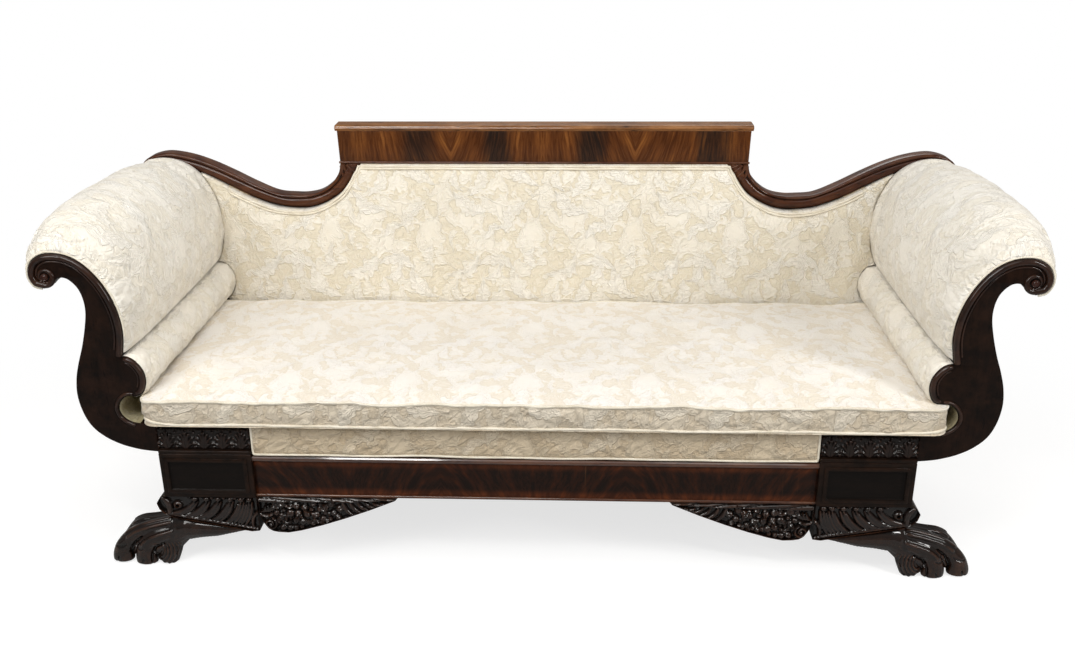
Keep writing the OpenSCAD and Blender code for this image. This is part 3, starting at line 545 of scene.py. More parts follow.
leg_front, leg_depth = -0.3695, 0.088
knee_outline = [(0.64, 0.19), (0.6409, 0.13), (0.6395, 0.1), (0.6592, 0.0975), (0.75, 0.1145), (0.8402, 0.131),
                (0.859, 0.14), (0.872, 0.153), (0.877, 0.17), (0.868, 0.184), (0.864, 0.1885)]
knee = cut_board("leg_knee_right", knee_outline, leg_front + 0.001, leg_front + leg_depth, 0.004)
remesh(knee, 0.0019, 0.5, 4)


def knee_relief(x, z):
    """Leaf lobes that lean towards the bracket, a rolled tip over each, and a drilled eye at the ear."""
    rib = lambda s: 0.1014 + (s - 0.657) * 0.186
    ear = (0.829, 0.1637)
    height = np.zeros(x.shape)
    for foot, lean in ((0.686, 0.026), (0.713, 0.034), (0.745, 0.04), (0.777, 0.044), (0.806, 0.046), (0.838, 0.05)):
        for finger in (-1, 0, 1):
            low_end = (foot + 0.009 * finger, rib(foot + 0.009 * finger) + 0.004)
            high_end = (foot - lean + 0.007 * finger, 0.174 - 0.0045 * abs(finger) - 0.003 * finger)
            height = raised_to(height, x, z, [(bowed(low_end, high_end, 0.006), 0.0058, 0.008, 0.5)])
        height = raised_to(height, x, z, balls=[((foot - lean - 0.001, 0.181), 0.0078, 0.011),
                                                ((foot - lean + 0.0135, 0.1835), 0.005, 0.008)])
        height = height - ball_height(x, z, (foot - lean + 0.0095, 0.1745), 0.0034, 0.007)
    height = raised_to(height, x, z, [
        ([(0.645, 0.103), (0.75, 0.1215), (0.857, 0.141)], 0.0046, 0.009, 0.15),
        (bowed((0.655, 0.11), (0.641, 0.148), -0.006), 0.0052, 0.0105, 0.2),
        (bowed((0.85, 0.144), (0.862, 0.184), 0.006), 0.0085, 0.0115, 0.3),
    ], [(ear, 0.0115, 0.011)])
    height = np.where(np.hypot(x - ear[0], z - ear[1]) < 0.0042, -0.006, height)
    return np.clip(height, -0.006, 0.0125)


carve(knee, knee_relief, 0.0125)

# Shank and paw: one loft, with a loft for each toe joined to it
shank_rows = [(0.644, 0.0925, 0.0995, 0.022), (0.665, 0.0905, 0.1045, 0.029), (0.7, 0.0815, 0.111, 0.034),
    (0.745, 0.069, 0.118, 0.038), (0.79, 0.0625, 0.126, 0.04), (0.82, 0.056, 0.13, 0.0405),
    (0.842, 0.033, 0.129, 0.0385), (0.858, 0.012, 0.119, 0.036), (0.88, 0.006, 0.106, 0.035),
    (0.905, 0.006, 0.096, 0.034), (0.928, 0.006, 0.09, 0.032), (0.945, 0.008, 0.08, 0.03),
    (0.96, 0.01, 0.062, 0.026), (0.972, 0.014, 0.042, 0.018)]
leg_mid = leg_front + leg_depth / 2
turns = np.radians(np.arange(0, 360, 15))
rings = [[(x, leg_mid - math.cos(a) * half, (low + high) / 2 + math.sin(a) * (high - low) / 2) for a in turns]
         for x, low, high, half in shank_rows]


def loft(name, rings):
    """A skin through rings that all have the same number of points, closed at both ends."""
    n, rows = len(rings[0]), len(rings)
    faces = [[i * n + j, i * n + (j + 1) % n, (i + 1) * n + (j + 1) % n, (i + 1) * n + j]
             for i in range(rows - 1) for j in range(n)]
    faces += [list(range(n))[::-1], [(rows - 1) * n + j for j in range(n)]]
    made = put_in(name, skin(name, [p for ring in rings for p in ring], faces))
    turn_outwards(made)
    return made


shank = loft("leg_shank_right", rings)
clay = [shank]


def limb(name, spine, sinews=(), reach=0.72):
    """A toe from the ankle over its knuckle to its tip (x, y, z, half width, half height), with sinews along it."""
    steps = np.linspace(0, len(spine) - 1, 36)
    rows = np.stack([np.interp(steps, range(len(spine)), column) for column in zip(*spine)], 1)
    for _ in range(5):
        rows[1:-1] = (rows[:-2] + 2 * rows[1:-1] + rows[2:]) / 4
    ahead = np.gradient(rows[:, :3], axis=0)
    ahead /= np.linalg.norm(ahead, axis=1)[:, None]
    outward = np.array((0, -1, 0)) + ahead * ahead[:, 1:2]
    outward /= np.linalg.norm(outward, axis=1)[:, None]
    upward = np.cross(outward, ahead)
    rounding = np.ones(len(rows))
    rounding[[0, -1]], rounding[[1, -2]] = 0.55, 0.88
    rings = [[tuple(p[:3] + r * (math.cos(a) * p[3] * o + math.sin(a) * p[4] * w))
        for a in np.radians(range(0, 360, 20))] for p, o, w, r in zip(rows, outward, upward, rounding)]
    clay.append(loft(name, rings))
    last = int(len(rows) * reach)
    for turn in np.radians(sinews):
        off_side, off_top = rows[:, 3:4] - 0.0014, rows[:, 4:5] - 0.0014
        line = rows[:, :3] + math.cos(turn) * off_side * outward + math.sin(turn) * off_top * upward
        limb(name + "_sinew", [(*p, 0.0044, 0.0044) for p in line[2:last:3]])


limb("toe_near", [(0.835, -0.345, 0.087, 0.015, 0.015), (0.878, -0.35, 0.0745, 0.0165, 0.0165),
    (0.908, -0.3515, 0.063, 0.017, 0.0175), (0.923, -0.352, 0.045, 0.017, 0.02),
    (0.926, -0.353, 0.024, 0.0165, 0.025), (0.925, -0.353, 0.009, 0.0165, 0.027),
    (0.925, -0.353, 0.0005, 0.016, 0.025)], (35, 80), 0.5)
limb("toe_long", [(0.835, -0.335, 0.107, 0.016, 0.016), (0.89, -0.337, 0.095, 0.017, 0.017),
    (0.938, -0.3385, 0.08, 0.018, 0.018), (0.966, -0.34, 0.06, 0.018, 0.018), (0.982, -0.342, 0.036, 0.0185, 0.0215),
    (0.985, -0.344, 0.015, 0.019, 0.026), (0.985, -0.344, 0.0005, 0.0175, 0.025)], (25, 65), 0.56)
limb("toe_back", [(0.85, -0.315, 0.104, 0.016, 0.016), (0.905, -0.312, 0.0905, 0.0165, 0.0165),
    (0.935, -0.311, 0.0865, 0.0178, 0.0178), (0.954, -0.31, 0.074, 0.018, 0.018),
    (0.972, -0.309, 0.048, 0.018, 0.019), (0.984, -0.308, 0.017, 0.018, 0.024),
    (0.984, -0.308, 0.0005, 0.017, 0.024)], (50, 110), 0.52)
limb("toe_far", [(0.85, -0.3, 0.09, 0.015, 0.015), (0.9, -0.2945, 0.08, 0.0155, 0.0155),
    (0.93, -0.293, 0.066, 0.016, 0.016), (0.953, -0.292, 0.042, 0.016, 0.018), (0.962, -0.292, 0.016, 0.016, 0.024),
    (0.962, -0.292, 0.0005, 0.015, 0.023)], (90,), 0.55)
limb("heel", [(0.856, -0.338, 0.056, 0.02, 0.02), (0.864, -0.34, 0.038, 0.024, 0.024),
    (0.874, -0.34, 0.018, 0.024, 0.026), (0.878, -0.339, 0.003, 0.022, 0.024)])
join(shank, clay)
remesh(shank, 0.0018, 0.5, 5)
places = points_of(shank)
places[:, 2] = np.maximum(places[:, 2], 0.0)
set_points(shank, places)

# Tendons, the clefts between the toes, hair round the heel and along the lower edge
x, z = places[:, 0], places[:, 2]
forward = np.clip((-points_of(shank, "normal")[:, 1] - 0.15) / 0.5, 0, 1)
cut = np.zeros(len(x))
for path, width, depth in (([(0.96, 0.0), (0.96, 0.03), (0.948, 0.055), (0.93, 0.07)], 0.0032, 0.0045),
        ([(0.91, 0.0), (0.909, 0.025), (0.899, 0.045), (0.876, 0.058)], 0.0036, 0.006),
        (bowed((0.925, 0.046), (0.948, 0.046), -0.004), 0.0026, 0.0028),
        (bowed((0.968, 0.052), (0.994, 0.044), -0.003), 0.0026, 0.0028),
        (bowed((0.928, 0.016), (0.936, 0.004), -0.002), 0.003, 0.004),
        (bowed((0.99, 0.018), (0.997, 0.004), -0.002), 0.003, 0.004)):
    cut = np.maximum(cut, ridge_height(x, z, path, width, depth, 0.3))
below = np.interp(x, [r[0] for r in shank_rows], [r[1] for r in shank_rows])
fringe = np.clip(1 - (z - below) / 0.02, 0, 1) * (x < 0.85) * (x > 0.7)
strokes = 0.5 + 0.5 * np.sin((x + (z - below) * 0.9) * 2 * math.pi / 0.008)
from_heel = np.hypot(x - 0.893, (z - 0.04) * 0.9)
tuft = np.clip((from_heel - 0.008) / 0.006, 0, 1) * np.clip((0.902 - x) / 0.006, 0, 1)
tuft = tuft * np.clip((0.064 - z) / 0.01, 0, 1) * (x > 0.835)
curls = 0.5 + 0.5 * np.sin(from_heel * 2 * math.pi / 0.0078)
places[:, 1] += forward * (cut - 0.003 * fringe * strokes - 0.0032 * tuft * curls)
set_points(shank, places)
soft_places = points_of(shank)
ends_of_edges = np.zeros(2 * len(shank.data.edges), np.int32)
shank.data.edges.foreach_get("vertices", ends_of_edges)
a, b = ends_of_edges.reshape(-1, 2).T
beside = np.bincount(np.concatenate([a, b]), minlength=len(soft_places))[:, None]
for _ in range(24):
    near = np.stack([np.bincount(a, soft_places[b, k], len(soft_places))
        + np.bincount(b, soft_places[a, k], len(soft_places)) for k in range(3)], 1)
    soft_places = 0.5 * soft_places + 0.5 * near / beside
# The relief mark drives the painted shade and the wear: it is lower, so painted darker, in the grooves of the hair
# fringe, and higher, so rubbed, at the toe tips
proud = np.sum((points_of(shank) - soft_places) * points_of(shank, "normal"), 1)
mark(shank, "relief", np.clip(0.56 + proud / 0.0022 - 0.4 * fringe * (1 - strokes)
    + 0.5 * np.clip((x - 0.968) / 0.02, 0, 1) * (z < 0.04), 0, 1))
shade(knee)
shade(shank, 60)
for piece, wood, twin_name in ((knee, carved_wood, "leg_knee_left"), (shank, paw_wood, "leg_shank_left")):
    dress(piece, wood, "carved_mahogany", "frame", "front_leg_right")
    dress(mirror_copy(piece, twin_name), wood, "carved_mahogany", "frame", "front_leg_left")

# ---------------------------------------------------------------- Carved brackets
# Thin mahogany brackets glued under the front rail: a roped edge, a scroll beside the leg,
# a cluster of fruit, and leaves that thin out to a point.
bracket_outline = [(0.639, 0.19), (0.638, 0.16), (0.6368, 0.14), (0.633, 0.1275), (0.628, 0.1165), (0.6205, 0.1045),
    (0.61, 0.0975), (0.596, 0.095), (0.573, 0.094), (0.541, 0.1005), (0.492, 0.115), (0.436, 0.1345),
    (0.377, 0.1575), (0.34, 0.1735), (0.318, 0.183), (0.312, 0.19)]
bracket_front = -0.3595
SCROLL_X, SCROLL_Z = 0.6145, 0.1165
bracket = cut_board("bracket_right", bracket_outline, bracket_front, bracket_front + 0.044, 0.004)
remesh(bracket, 0.0019, 0.5, 4)
fruit_rng = np.random.default_rng(7)
fruits = []
for _ in range(900):
    cx, cz, r = fruit_rng.uniform(0.448, 0.612), fruit_rng.uniform(0.098, 0.172), fruit_rng.uniform(0.005, 0.0115)
    edge_z = np.interp(cx, [p[0] for p in bracket_outline[::-1]], [p[1] for p in bracket_outline[::-1]])
    clear = all(math.hypot(cx - a, cz - b) > 0.74 * (r + c) for a, b, c in fruits)
    if cz > edge_z + 0.6 * r and math.hypot(cx - SCROLL_X, cz - SCROLL_Z) > 0.024 and clear:
        fruits.append((cx, cz, r))
sprigs = [(cx, cz, fruit_rng.uniform(0, 2 * math.pi)) for cx, cz, r in fruits[3:] if r > 0.0062 and cz > 0.118
    and cx < 0.59][::2]


def bracket_relief(x, z):
    """Rope along the top, scroll by the leg, fruit, then overlapping leaves."""
    pitch = np.interp(x, [0.31, 0.64], [0.012, 0.021])
    rope_half = np.interp(x, [0.31, 0.42, 0.64], [0.003, 0.0075, 0.0095])
    rope_z = 0.19 - rope_half
    across = np.clip(1 - ((z - rope_z) / rope_half) ** 2, 0, 1)
    twist = np.abs(np.sin(np.pi * (x - 1.3 * (z - rope_z)) / pitch)) ** 0.6
    height = 0.0125 * np.sqrt(across) * (0.45 + 0.55 * twist)
    for cx, cz, r in fruits:
        height = raised_to(height, x, z, balls=[((cx, cz), r, 0.006 + 0.5 * r)])
        height = height - ball_height(x, z, (cx - 0.2 * r, cz + 0.2 * r), 0.0017, 0.003)
    for stem_x, stem_z, stem_turn in sprigs:
        tip = (stem_x + 0.02 * math.cos(stem_turn), stem_z + 0.02 * math.sin(stem_turn))
        stem = bowed((stem_x, stem_z), tip, 0.004)
        height = raised_to(height, x, z, [(stem, 0.0052, 0.0118, 0.6)])
        height = np.where(path_distance(x, z, stem)[0] < 0.0008, height - 0.003, height)
    for k in range(7):
        base = (0.442 - 0.018 * k, 0.176 - 0.0005 * k)
        edge_z = 0.137 + 0.0075 * k
        leaf_line = bowed(base, (base[0] - 0.022, edge_z + 0.004), 0.005)
        height = raised_to(height, x, z, [(leaf_line, 0.0062 - 0.0004 * k, 0.008, 0.4)])
    scroll = [(SCROLL_X + (0.0035 + 0.0125 * t) * math.cos(5.2 - 9.5 * t),
        SCROLL_Z + (0.0035 + 0.0125 * t) * math.sin(5.2 - 9.5 * t)) for t in np.linspace(0, 1, 40)]
    height = np.where(np.hypot(x - SCROLL_X, z - SCROLL_Z) < 0.0185, 0.002, height)
    leaves = [(bowed((0.6345 - 0.006 * k, 0.146 + 0.001 * k), (0.622 - 0.008 * k, 0.166), 0.003), 0.0036, 0.008, 0.4)
              for k in range(4)]
    stalk = [(0.6375, 0.143), (0.632, 0.139), (0.624, 0.137), (0.612, 0.139)]
    height = raised_to(height, x, z, [(scroll, 0.0036, 0.0115, 0.1), (stalk, 0.0045, 0.011, 0.3), *leaves],
                       [((SCROLL_X, SCROLL_Z), 0.0045, 0.0125)])
    return np.clip(height, -0.002, 0.0125)


carve(bracket, bracket_relief, 0.0125)
places = points_of(bracket)
places[:, 1] = np.maximum(places[:, 1] - 0.006 * (places[:, 1] < bracket_front + 0.02), leg_front + 0.001)
set_points(bracket, places)
shade(bracket)
dress(bracket, carved_wood, "carved_mahogany", "frame", "leg_bracket_right")
dress(mirror_copy(bracket, "bracket_left"), carved_wood, "carved_mahogany", "frame", "leg_bracket_left")

# ---------------------------------------------------------------- Rear legs
# Plain square legs that taper and rake backwards, screwed up into the rear rail.


def slab(name, low, high, round_over=0.002, segments=3):
    """A planed block between two corners, with its edges rounded over."""
    low, high = np.array(low, float), np.array(high, float)
    bpy.ops.object.select_all(action="DESELECT")
    bpy.ops.mesh.primitive_cube_add(size=1, location=(low + high) / 2, scale=high - low)
    made = bpy.context.object
    made.name = name
    apply_places(made)
    if round_over:
        bevel(made, round_over, segments)
    return made


def bevel(piece, width, segments=3, degrees=30):
    """Rounds over the sharp edges."""
    work_on(piece)
    rounding = piece.modifiers.new("round_over", "BEVEL")
    rounding.width = width
    rounding.segments = segments
    rounding.limit_method = "ANGLE"
    rounding.angle_limit = math.radians(degrees)
    bpy.ops.object.modifier_apply(modifier=rounding.name)


RED_BROWN = [(0.28, (0.022, 0.006, 0.0028)), (0.5, (0.052, 0.015, 0.0058)), (0.74, (0.105, 0.034, 0.0115))]
rail_wood = carved_timber("mahogany_rail", (5, 40, 40), RED_BROWN, 0.45, (0.17, 0.07, 0.028),
                          0.8, 0.06, 0.1)
for side in ("left", "right"):
    low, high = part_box("rear_leg_" + side)
    leg = slab("rear_leg_turned_" + side, (low.x, low.y, 0), (high.x, high.y, high.z), 0)
    foot, top = (0.3465, 0.3845), (0.3195, 0.3755)
    for v in leg.data.vertices:
        v.co.y = (foot if v.co.z < 0.01 else top)[v.co.y > 0.35]
    bevel(leg, 0.003)
    shade(leg)
    dress(leg, rail_wood, "mahogany", "frame", "rear_leg_" + side)

# ---------------------------------------------------------------- Front blocks
# Solid mahogany blocks at the two ends of the front rail. The face has a sunk panel, and a
# thin raised moulding is mitred round it.
BLOCK_DARK = [(0.3, (0.004, 0.0028, 0.002)), (0.7, (0.012, 0.0064, 0.0042))]
smooth_dark = carved_timber("dark_mahogany", (7, 55, 55), BLOCK_DARK, 0.4, (0.045, 0.019, 0.01),
                            0.14, 0.08, 0.04)


def select_faces(piece, wanted):
    """Selects, in edit mode, the faces that a test accepts."""
    work_on(piece)
    bpy.ops.object.mode_set(mode="EDIT")
    bpy.ops.mesh.select_all(action="DESELECT")
    bpy.ops.mesh.select_mode(type="FACE")
    bpy.ops.object.mode_set(mode="OBJECT")
    for face in piece.data.polygons:
        face.select = bool(wanted(face))
    bpy.ops.object.mode_set(mode="EDIT")


for side in ("left", "right"):
    low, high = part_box("panel_block_" + side)
    block = slab("front_block_" + side, low, high, 0)
    select_faces(block, lambda f: f.normal.y < -0.9)
    bpy.ops.mesh.inset(thickness=0.02)
    bpy.ops.mesh.extrude_region_move(TRANSFORM_OT_translate={"value": (0, 0.004, 0)})
    bpy.ops.object.mode_set(mode="OBJECT")
    bevel(block, 0.0018)
    shade(block)
    dress(block, smooth_dark, "carved_mahogany", "frame", "panel_block_" + side)
    low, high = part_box("panel_bead_" + side)
    bead = slab("panel_moulding_" + side, low, high, 0)
    select_faces(bead, lambda f: f.normal.y < -0.9)
    bpy.ops.mesh.inset(thickness=0.0045)
    bpy.ops.transform.translate(value=(0, -0.0015, 0))
    bpy.ops.mesh.inset(thickness=0.0045)
    bpy.ops.mesh.delete(type="FACE")
    bpy.ops.mesh.select_all(action="DESELECT")
    bpy.ops.object.mode_set(mode="OBJECT")
    select_faces(bead, lambda f: f.normal.y > 0.9)
    bpy.ops.mesh.delete(type="FACE")
    bpy.ops.object.mode_set(mode="OBJECT")
    wall = bead.modifiers.new("back_of_moulding", "SOLIDIFY")
    wall.thickness = 0.0012
    wall.offset = -1
    work_on(bead)
    bpy.ops.object.modifier_apply(modifier=wall.name)
    bevel(bead, 0.0006, 2)
    shade(bead)
    dress(bead, smooth_dark, "carved_mahogany", "frame", "panel_bead_" + side)

# ---------------------------------------------------------------- Frieze blocks
# Carved mahogany blocks between the front blocks and the seat: a stepped foot, a row of five
# upright leaves whose tips curl forward, buds between them, and a beaded fillet.
FRIEZE_START, FRIEZE_PITCH, BEAD_PITCH = 0.64, 0.213 / 5, 0.0071
frieze_wood = carved_timber("frieze_mahogany", (9, 60, 60), DARK, 0.6, (0.05, 0.02, 0.01),
                            0.42, 0.05, 0.04)


def frieze_relief(x, z):
    """Five low leaves of spreading fingers with curled tips, buds between them, beads above."""
    u = (x - FRIEZE_START) / FRIEZE_PITCH
    across = np.abs(u - np.floor(u) - 0.5) * FRIEZE_PITCH
    v = z - 0.303
    height = np.full(x.shape, 0.0008)
    for reach, top, width in ((0.0, 0.049, 0.0046), (0.0078, 0.0455, 0.0038), (0.015, 0.037, 0.0034),
            (0.018, 0.024, 0.0028)):
        path = [(reach * 0.12, 0.0105), (reach * 0.5, 0.0105 + 0.62 * (top - 0.0105)), (reach, top)]
        height = raised_to(height, across, v, [(path, width, 0.0046, 0.4)], [((reach + 0.001, top), 0.004, 0.006)])
    height = np.where(across < 0.0008, height - 0.0012, height)
    height = raised_to(height, across, v, balls=[((FRIEZE_PITCH / 2, 0.015), 0.0045, 0.0058),
                                                 ((FRIEZE_PITCH / 2, 0.0505), 0.0036, 0.0056)])
    bead_u = (x - FRIEZE_START) / BEAD_PITCH
    bead = (bead_u - np.floor(bead_u) - 0.5) * BEAD_PITCH
    height = np.maximum(height, ball_height(bead, v, (0, 0.0575), 0.003, 0.0045))
    return height


for side in ("right", "left"):
    if side == "right":
        carved = slab("frieze_right", (0.6405, -0.3655, 0.3035), (0.8525, -0.3, 0.3635), 0)
        remesh(carved, 0.0016, 0.5, 1)
        carve(carved, frieze_relief, 0.006)
        places = points_of(carved)
        places[:, 0] = np.clip(places[:, 0], 0.6402, 0.8528)
        set_points(carved, places)
    else:
        carved = mirror_copy(carved, "frieze_left")
    shade(carved, 50)
    dress(carved, frieze_wood, "carved_mahogany", "frame", "frieze_block_" + side)
    low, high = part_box("frieze_block_" + side)
    foot = slab("frieze_foot_" + side, (low.x, low.y, low.z), (high.x, low.y + 0.012, low.z + 0.0085), 0.0025, 4)
    shade(foot)
    dress(foot, smooth_dark, "carved_mahogany", "frame")

# ---------------------------------------------------------------- Lower front rail
# A pine rail faced with crotch mahogany veneer: dark in the middle, redder along both edges,
# scratched by shoes. A rounded bead is glued along the top, a thin one along the foot.
veneer, start, end = new_group(
    "crotch_veneer",
    {"Vector": (0, 0, 0), "Fan": 1.0, "Pitch": 0.25},
    ["Streak", "Cloud"],
)
axes = axes_of(start["Vector"])
leaf = calc("PINGPONG", axes[0], start["Pitch"])
lean = times(times(leaf, axes[2]), start["Fan"])
fanned = add(veneer, "ShaderNodeCombineXYZ", {0: calc("SUBTRACT", leaf, lean), 1: axes[1], 2: times(axes[2], 0.16)})
waved = noise(start["Vector"], 9.0, 2.0, give="Color")
shifted = move_by("MULTIPLY", waved, (0.018, 0.0, 0.004))
moved = move_by("ADD", fanned.outputs[0], shifted)
streaks = noise(moved, 95.0, 7.0, 0.62)
clouds = noise(moved, 13.0, 3.0, 0.55)
feed(end["Streak"], streaks)
feed(end["Cloud"], clouds)


def veneered(name, fan, pitch, band_axis, bands, light, dark, blot_colour, *finish):
    """Crotch veneer: streaks from light to dark, and bands of a second colour along an axis."""
    made, tree, shader = new_material(name, **polish(*finish))
    place = object_place(tree)
    figure = use_group(tree, veneer, {"Vector": place, "Fan": fan, "Pitch": pitch})
    mixed = calc("ADD", times(figure["Streak"], 0.6), times(figure["Cloud"], 0.4))
    colour = ramp(tree, mixed, [(0.34, dark[0]), (0.47, dark[1]), (0.56, light[0]), (0.68, light[1])])
    along = axes_of(place)[band_axis]
    ragged = calc("MULTIPLY_ADD", calc("SUBTRACT", figure["Cloud"], 0.5), bands[0], along)
    share = span(ragged, bands[1], bands[2])
    band = ramp(tree, share, [(p, (v, v, v)) for p, v in bands[3]], "EASE")
    streaky = times(band, calc("MULTIPLY_ADD", figure["Streak"], -1.2, 1.5), clamp=True)
    colour = blend_colours(tree, streaky, colour, blot_colour)
    feed(shader.inputs["Base Color"], colour)
    rough = calc("MULTIPLY_ADD", figure["Streak"], 0.25, 0.16)
    feed(shader.inputs["Roughness"], rough)
    bump_up(shader, 0.15, 0.0004, figure["Streak"])
    return made, tree, shader, colour, place


rail_veneer, tree, shader, colour, place = veneered("rail_crotch_veneer", 2.0, 0.21, 2,
    (0.02, 0.19, 0.297, [(0.0, 0.0), (0.12, 0.1), (0.27, 0.93), (0.68, 0.97), (0.84, 0.3), (1.0, 0.0)]),
    ((0.1, 0.025, 0.0075), (0.2, 0.058, 0.015)), ((0.03, 0.0085, 0.0038), (0.055, 0.015, 0.0055)),
    (0.0088, 0.005, 0.0037), 0.14, 0.12, 0.05)
# Pale scratches that run up the rail
scratched = move_by("MULTIPLY", place, (70.0, 1.0, 3.5))
scratch = noise(scratched, 1.0, 4.0, 0.5, 0.6)
few = span(scratch, 0.66, 0.74, 0, 0.5)
feed(shader.inputs["Base Color"], blend_colours(tree, few, colour, (0.13, 0.055, 0.022)))

rail = slab("veneered_rail", (-0.6398, -0.3595, 0.19), (0.6398, -0.3235, 0.288), 0.001)
shade(rail)
dress(rail, rail_veneer, "flame_veneer", "frame", "lower_front_rail")


def rod(name, path, radii, sides=4, squash=None):
    """A round or flattened moulding swept along points, with its own radius at each."""
    curve = bpy.data.curves.new(name, "CURVE")
    curve.dimensions = "3D"
    curve.bevel_depth = 1.0
    curve.bevel_resolution = sides
    curve.use_fill_caps = True
    spline = curve.splines.new("POLY")
    spline.points.add(len(path) - 1)
    spline.points.foreach_set("co", [c for p in path for c in (*p, 1)])
    spline.points.foreach_set("radius", list(radii) if hasattr(radii, "__len__") else [radii] * len(path))
    put_in(name, curve)
    bpy.ops.object.convert(target="MESH")
    made = bpy.context.object
    turn_outwards(made, merge=True)
    if squash:
        places = points_of(made)
        places[:, 1] = squash[0] + (places[:, 1] - squash[0]) * squash[1]
        set_points(made, places)
    shade(made, 60)
    return made


# The polished bead along the top has a narrow flat where the finish is rubbed down
RUBBED = math.radians(44)
flat_round = RUBBED + np.radians([16, *range(30, 345, 15), 344])
rings = [[(x, -0.359 - 0.0068 * math.cos(a), 0.289 + 0.0068 * math.sin(a)) for a in flat_round]
    for x in (-0.6396, 0.6396)]
top_bead = loft("rail_top_bead", rings)
shade(top_bead, 18)
bead_wood = carved_timber("polished_bead_mahogany", (4, 40, 40), RED_BROWN, 0.3, (0.17, 0.07, 0.028),
                          1.0, 0.045, 0.35)
dress(top_bead, bead_wood, "flame_veneer", "frame")
foot_bead = rod("rail_foot_bead", [(x, -0.3592, 0.1936) for x in np.linspace(-0.6396, 0.6396, 40)], 0.0034)
dress(foot_bead, rail_wood, "flame_veneer", "frame")

# ---------------------------------------------------------------- Arm facings
# Flat mahogany boards sawn to a long scroll with a lobe and a notch below it. They close the
# front of the arms; a convex moulding and a thin bead are glued along the edge.


def smooth_line(points, steps):
    """A smooth curve through points, with so many steps between two of them."""
    p = np.asarray(points, float)
    rows = []
    for i in range(len(p) - 1):
        a, b, c, d = p[max(i - 1, 0)], p[i], p[i + 1], p[min(i + 2, len(p) - 1)]
        for s in np.arange(steps) / steps:
            rows.append((2 * b + (c - a) * s + (2 * a - 5 * b + 4 * c - d) * s * s
                + (3 * b - a - 3 * c + d) * s**3) / 2)
    return np.array(rows + [p[-1]])


def offset_line(path, distance):
    """The path moved to its outer side, by one distance or by one for each point."""
    path = np.asarray(path, float)
    ahead, behind = np.vstack([path[1:], path[-1:]]), np.vstack([path[:1], path[:-1]])
    along = (ahead - behind) / np.linalg.norm(ahead - behind, axis=1)[:, None]
    side = np.stack([along[:, 1], -along[:, 0]], 1)
    return path + side * np.asarray(distance, float).reshape(-1, 1)


FACING_LOW, FACING_SIZE = np.array([0.853, 0.303]), np.array([0.228, 0.475])
FACE_Y = -0.3595
edge_shares = [(0.864, 0.832), (0.952, 0.844), (1, 0.884), (0.991, 0.928), (0.939, 0.968), (0.846, 0.994),
    (0.737, 1), (0.627, 0.992), (0.513, 0.966), (0.404, 0.92), (0.303, 0.851), (0.228, 0.768), (0.189, 0.684),
    (0.184, 0.6), (0.219, 0.499)]
lobe_shares = [(0.219, 0.499), (0.162, 0.493), (0.096, 0.469), (0.039, 0.423), (0.031, 0.366), (0.075, 0.312),
    (0.158, 0.291)]
notch_shares = [(0.158, 0.291), (0.224, 0.297), (0.289, 0.28), (0.333, 0.248), (0.338, 0.213), (0.298, 0.179),
    (0.232, 0.158), (0.154, 0.149), (0, 0.145)]
under_shares = [(0, 0), (0.101, 0.004), (0.215, 0.013), (0.373, 0.036), (0.526, 0.076), (0.645, 0.133),
    (0.711, 0.208), (0.737, 0.295), (0.719, 0.377), (0.675, 0.453), (0.605, 0.545), (0.548, 0.638), (0.513, 0.72),
    (0.518, 0.787), (0.557, 0.84), (0.636, 0.878), (0.719, 0.882), (0.781, 0.855), (0.82, 0.836)]
edge, lobe, notch, under = [smooth_line(FACING_LOW + FACING_SIZE * np.array(s), 6)
    for s in (edge_shares, lobe_shares, notch_shares, under_shares)]
facing_outline = np.vstack([edge, lobe[1:], notch[1:], under])
keep = [True] + [np.hypot(*(b - a)) > 0.0004 for a, b in zip(facing_outline[:-1], facing_outline[1:])]
facing = cut_board("facing_board_right", [tuple(p) for p in facing_outline[keep]], FACE_Y, FACE_Y + 0.034, 0.0012)
shade(facing, 35)

eye = FACING_LOW + FACING_SIZE * np.array((0.842, 0.888))


def run_along(path):
    """How far each point lies along a path."""
    return np.concatenate([[0], np.cumsum(np.linalg.norm(np.diff(path, axis=0), axis=1))])


def standing(path, y):
    """A flat path stood up at one depth."""
    return [(p[0], y, p[1]) for p in path]


# The roll winds on from the end of the board, round the eye, and thins out there
wind = np.linspace(0, 1, 46)
volute = np.stack([eye[0] + (0.02 - 0.0085 * wind) * np.cos(np.radians(-62 - 335 * wind)),
                   eye[1] + (0.02 - 0.0085 * wind) * np.sin(np.radians(-62 - 335 * wind))], 1)
roll_path = np.vstack([offset_line(edge, -0.0078)[::-1][:-3], volute[1:]])
roll_radii = np.concatenate([np.full(len(edge) - 3, 0.007), 0.0068 - 0.0042 * wind[1:]])
roll = rod("facing_roll_right", standing(roll_path, FACE_Y + 0.0005), roll_radii, 5, (FACE_Y, 1.12))
thin = offset_line(edge, -0.0185)[:-2]
thin_bead = rod("facing_bead_right", standing(thin[8:], FACE_Y),
    np.interp(np.arange(len(thin) - 8), [0, 10], [0.001, 0.0022]), 3)

lobe_path = offset_line(lobe, -0.0072)[1:-2]
lobe_roll = rod("lobe_roll_right", standing(lobe_path, FACE_Y + 0.0005),
    np.interp(np.linspace(0, 1, len(lobe_path)), [0, 0.12, 0.8, 1], [0.0035, 0.0064, 0.006, 0.004]), 5,
    (FACE_Y, 1.05))
lobe_inner = offset_line(lobe, -0.0165)[3:-8]
lobe_bead = rod("lobe_bead_right", standing(lobe_inner, FACE_Y), 0.002, 3)
notch_path = offset_line(notch, -0.005)[3:-9]
notch_bead = rod("notch_bead_right", standing(notch_path, FACE_Y), 0.0036)

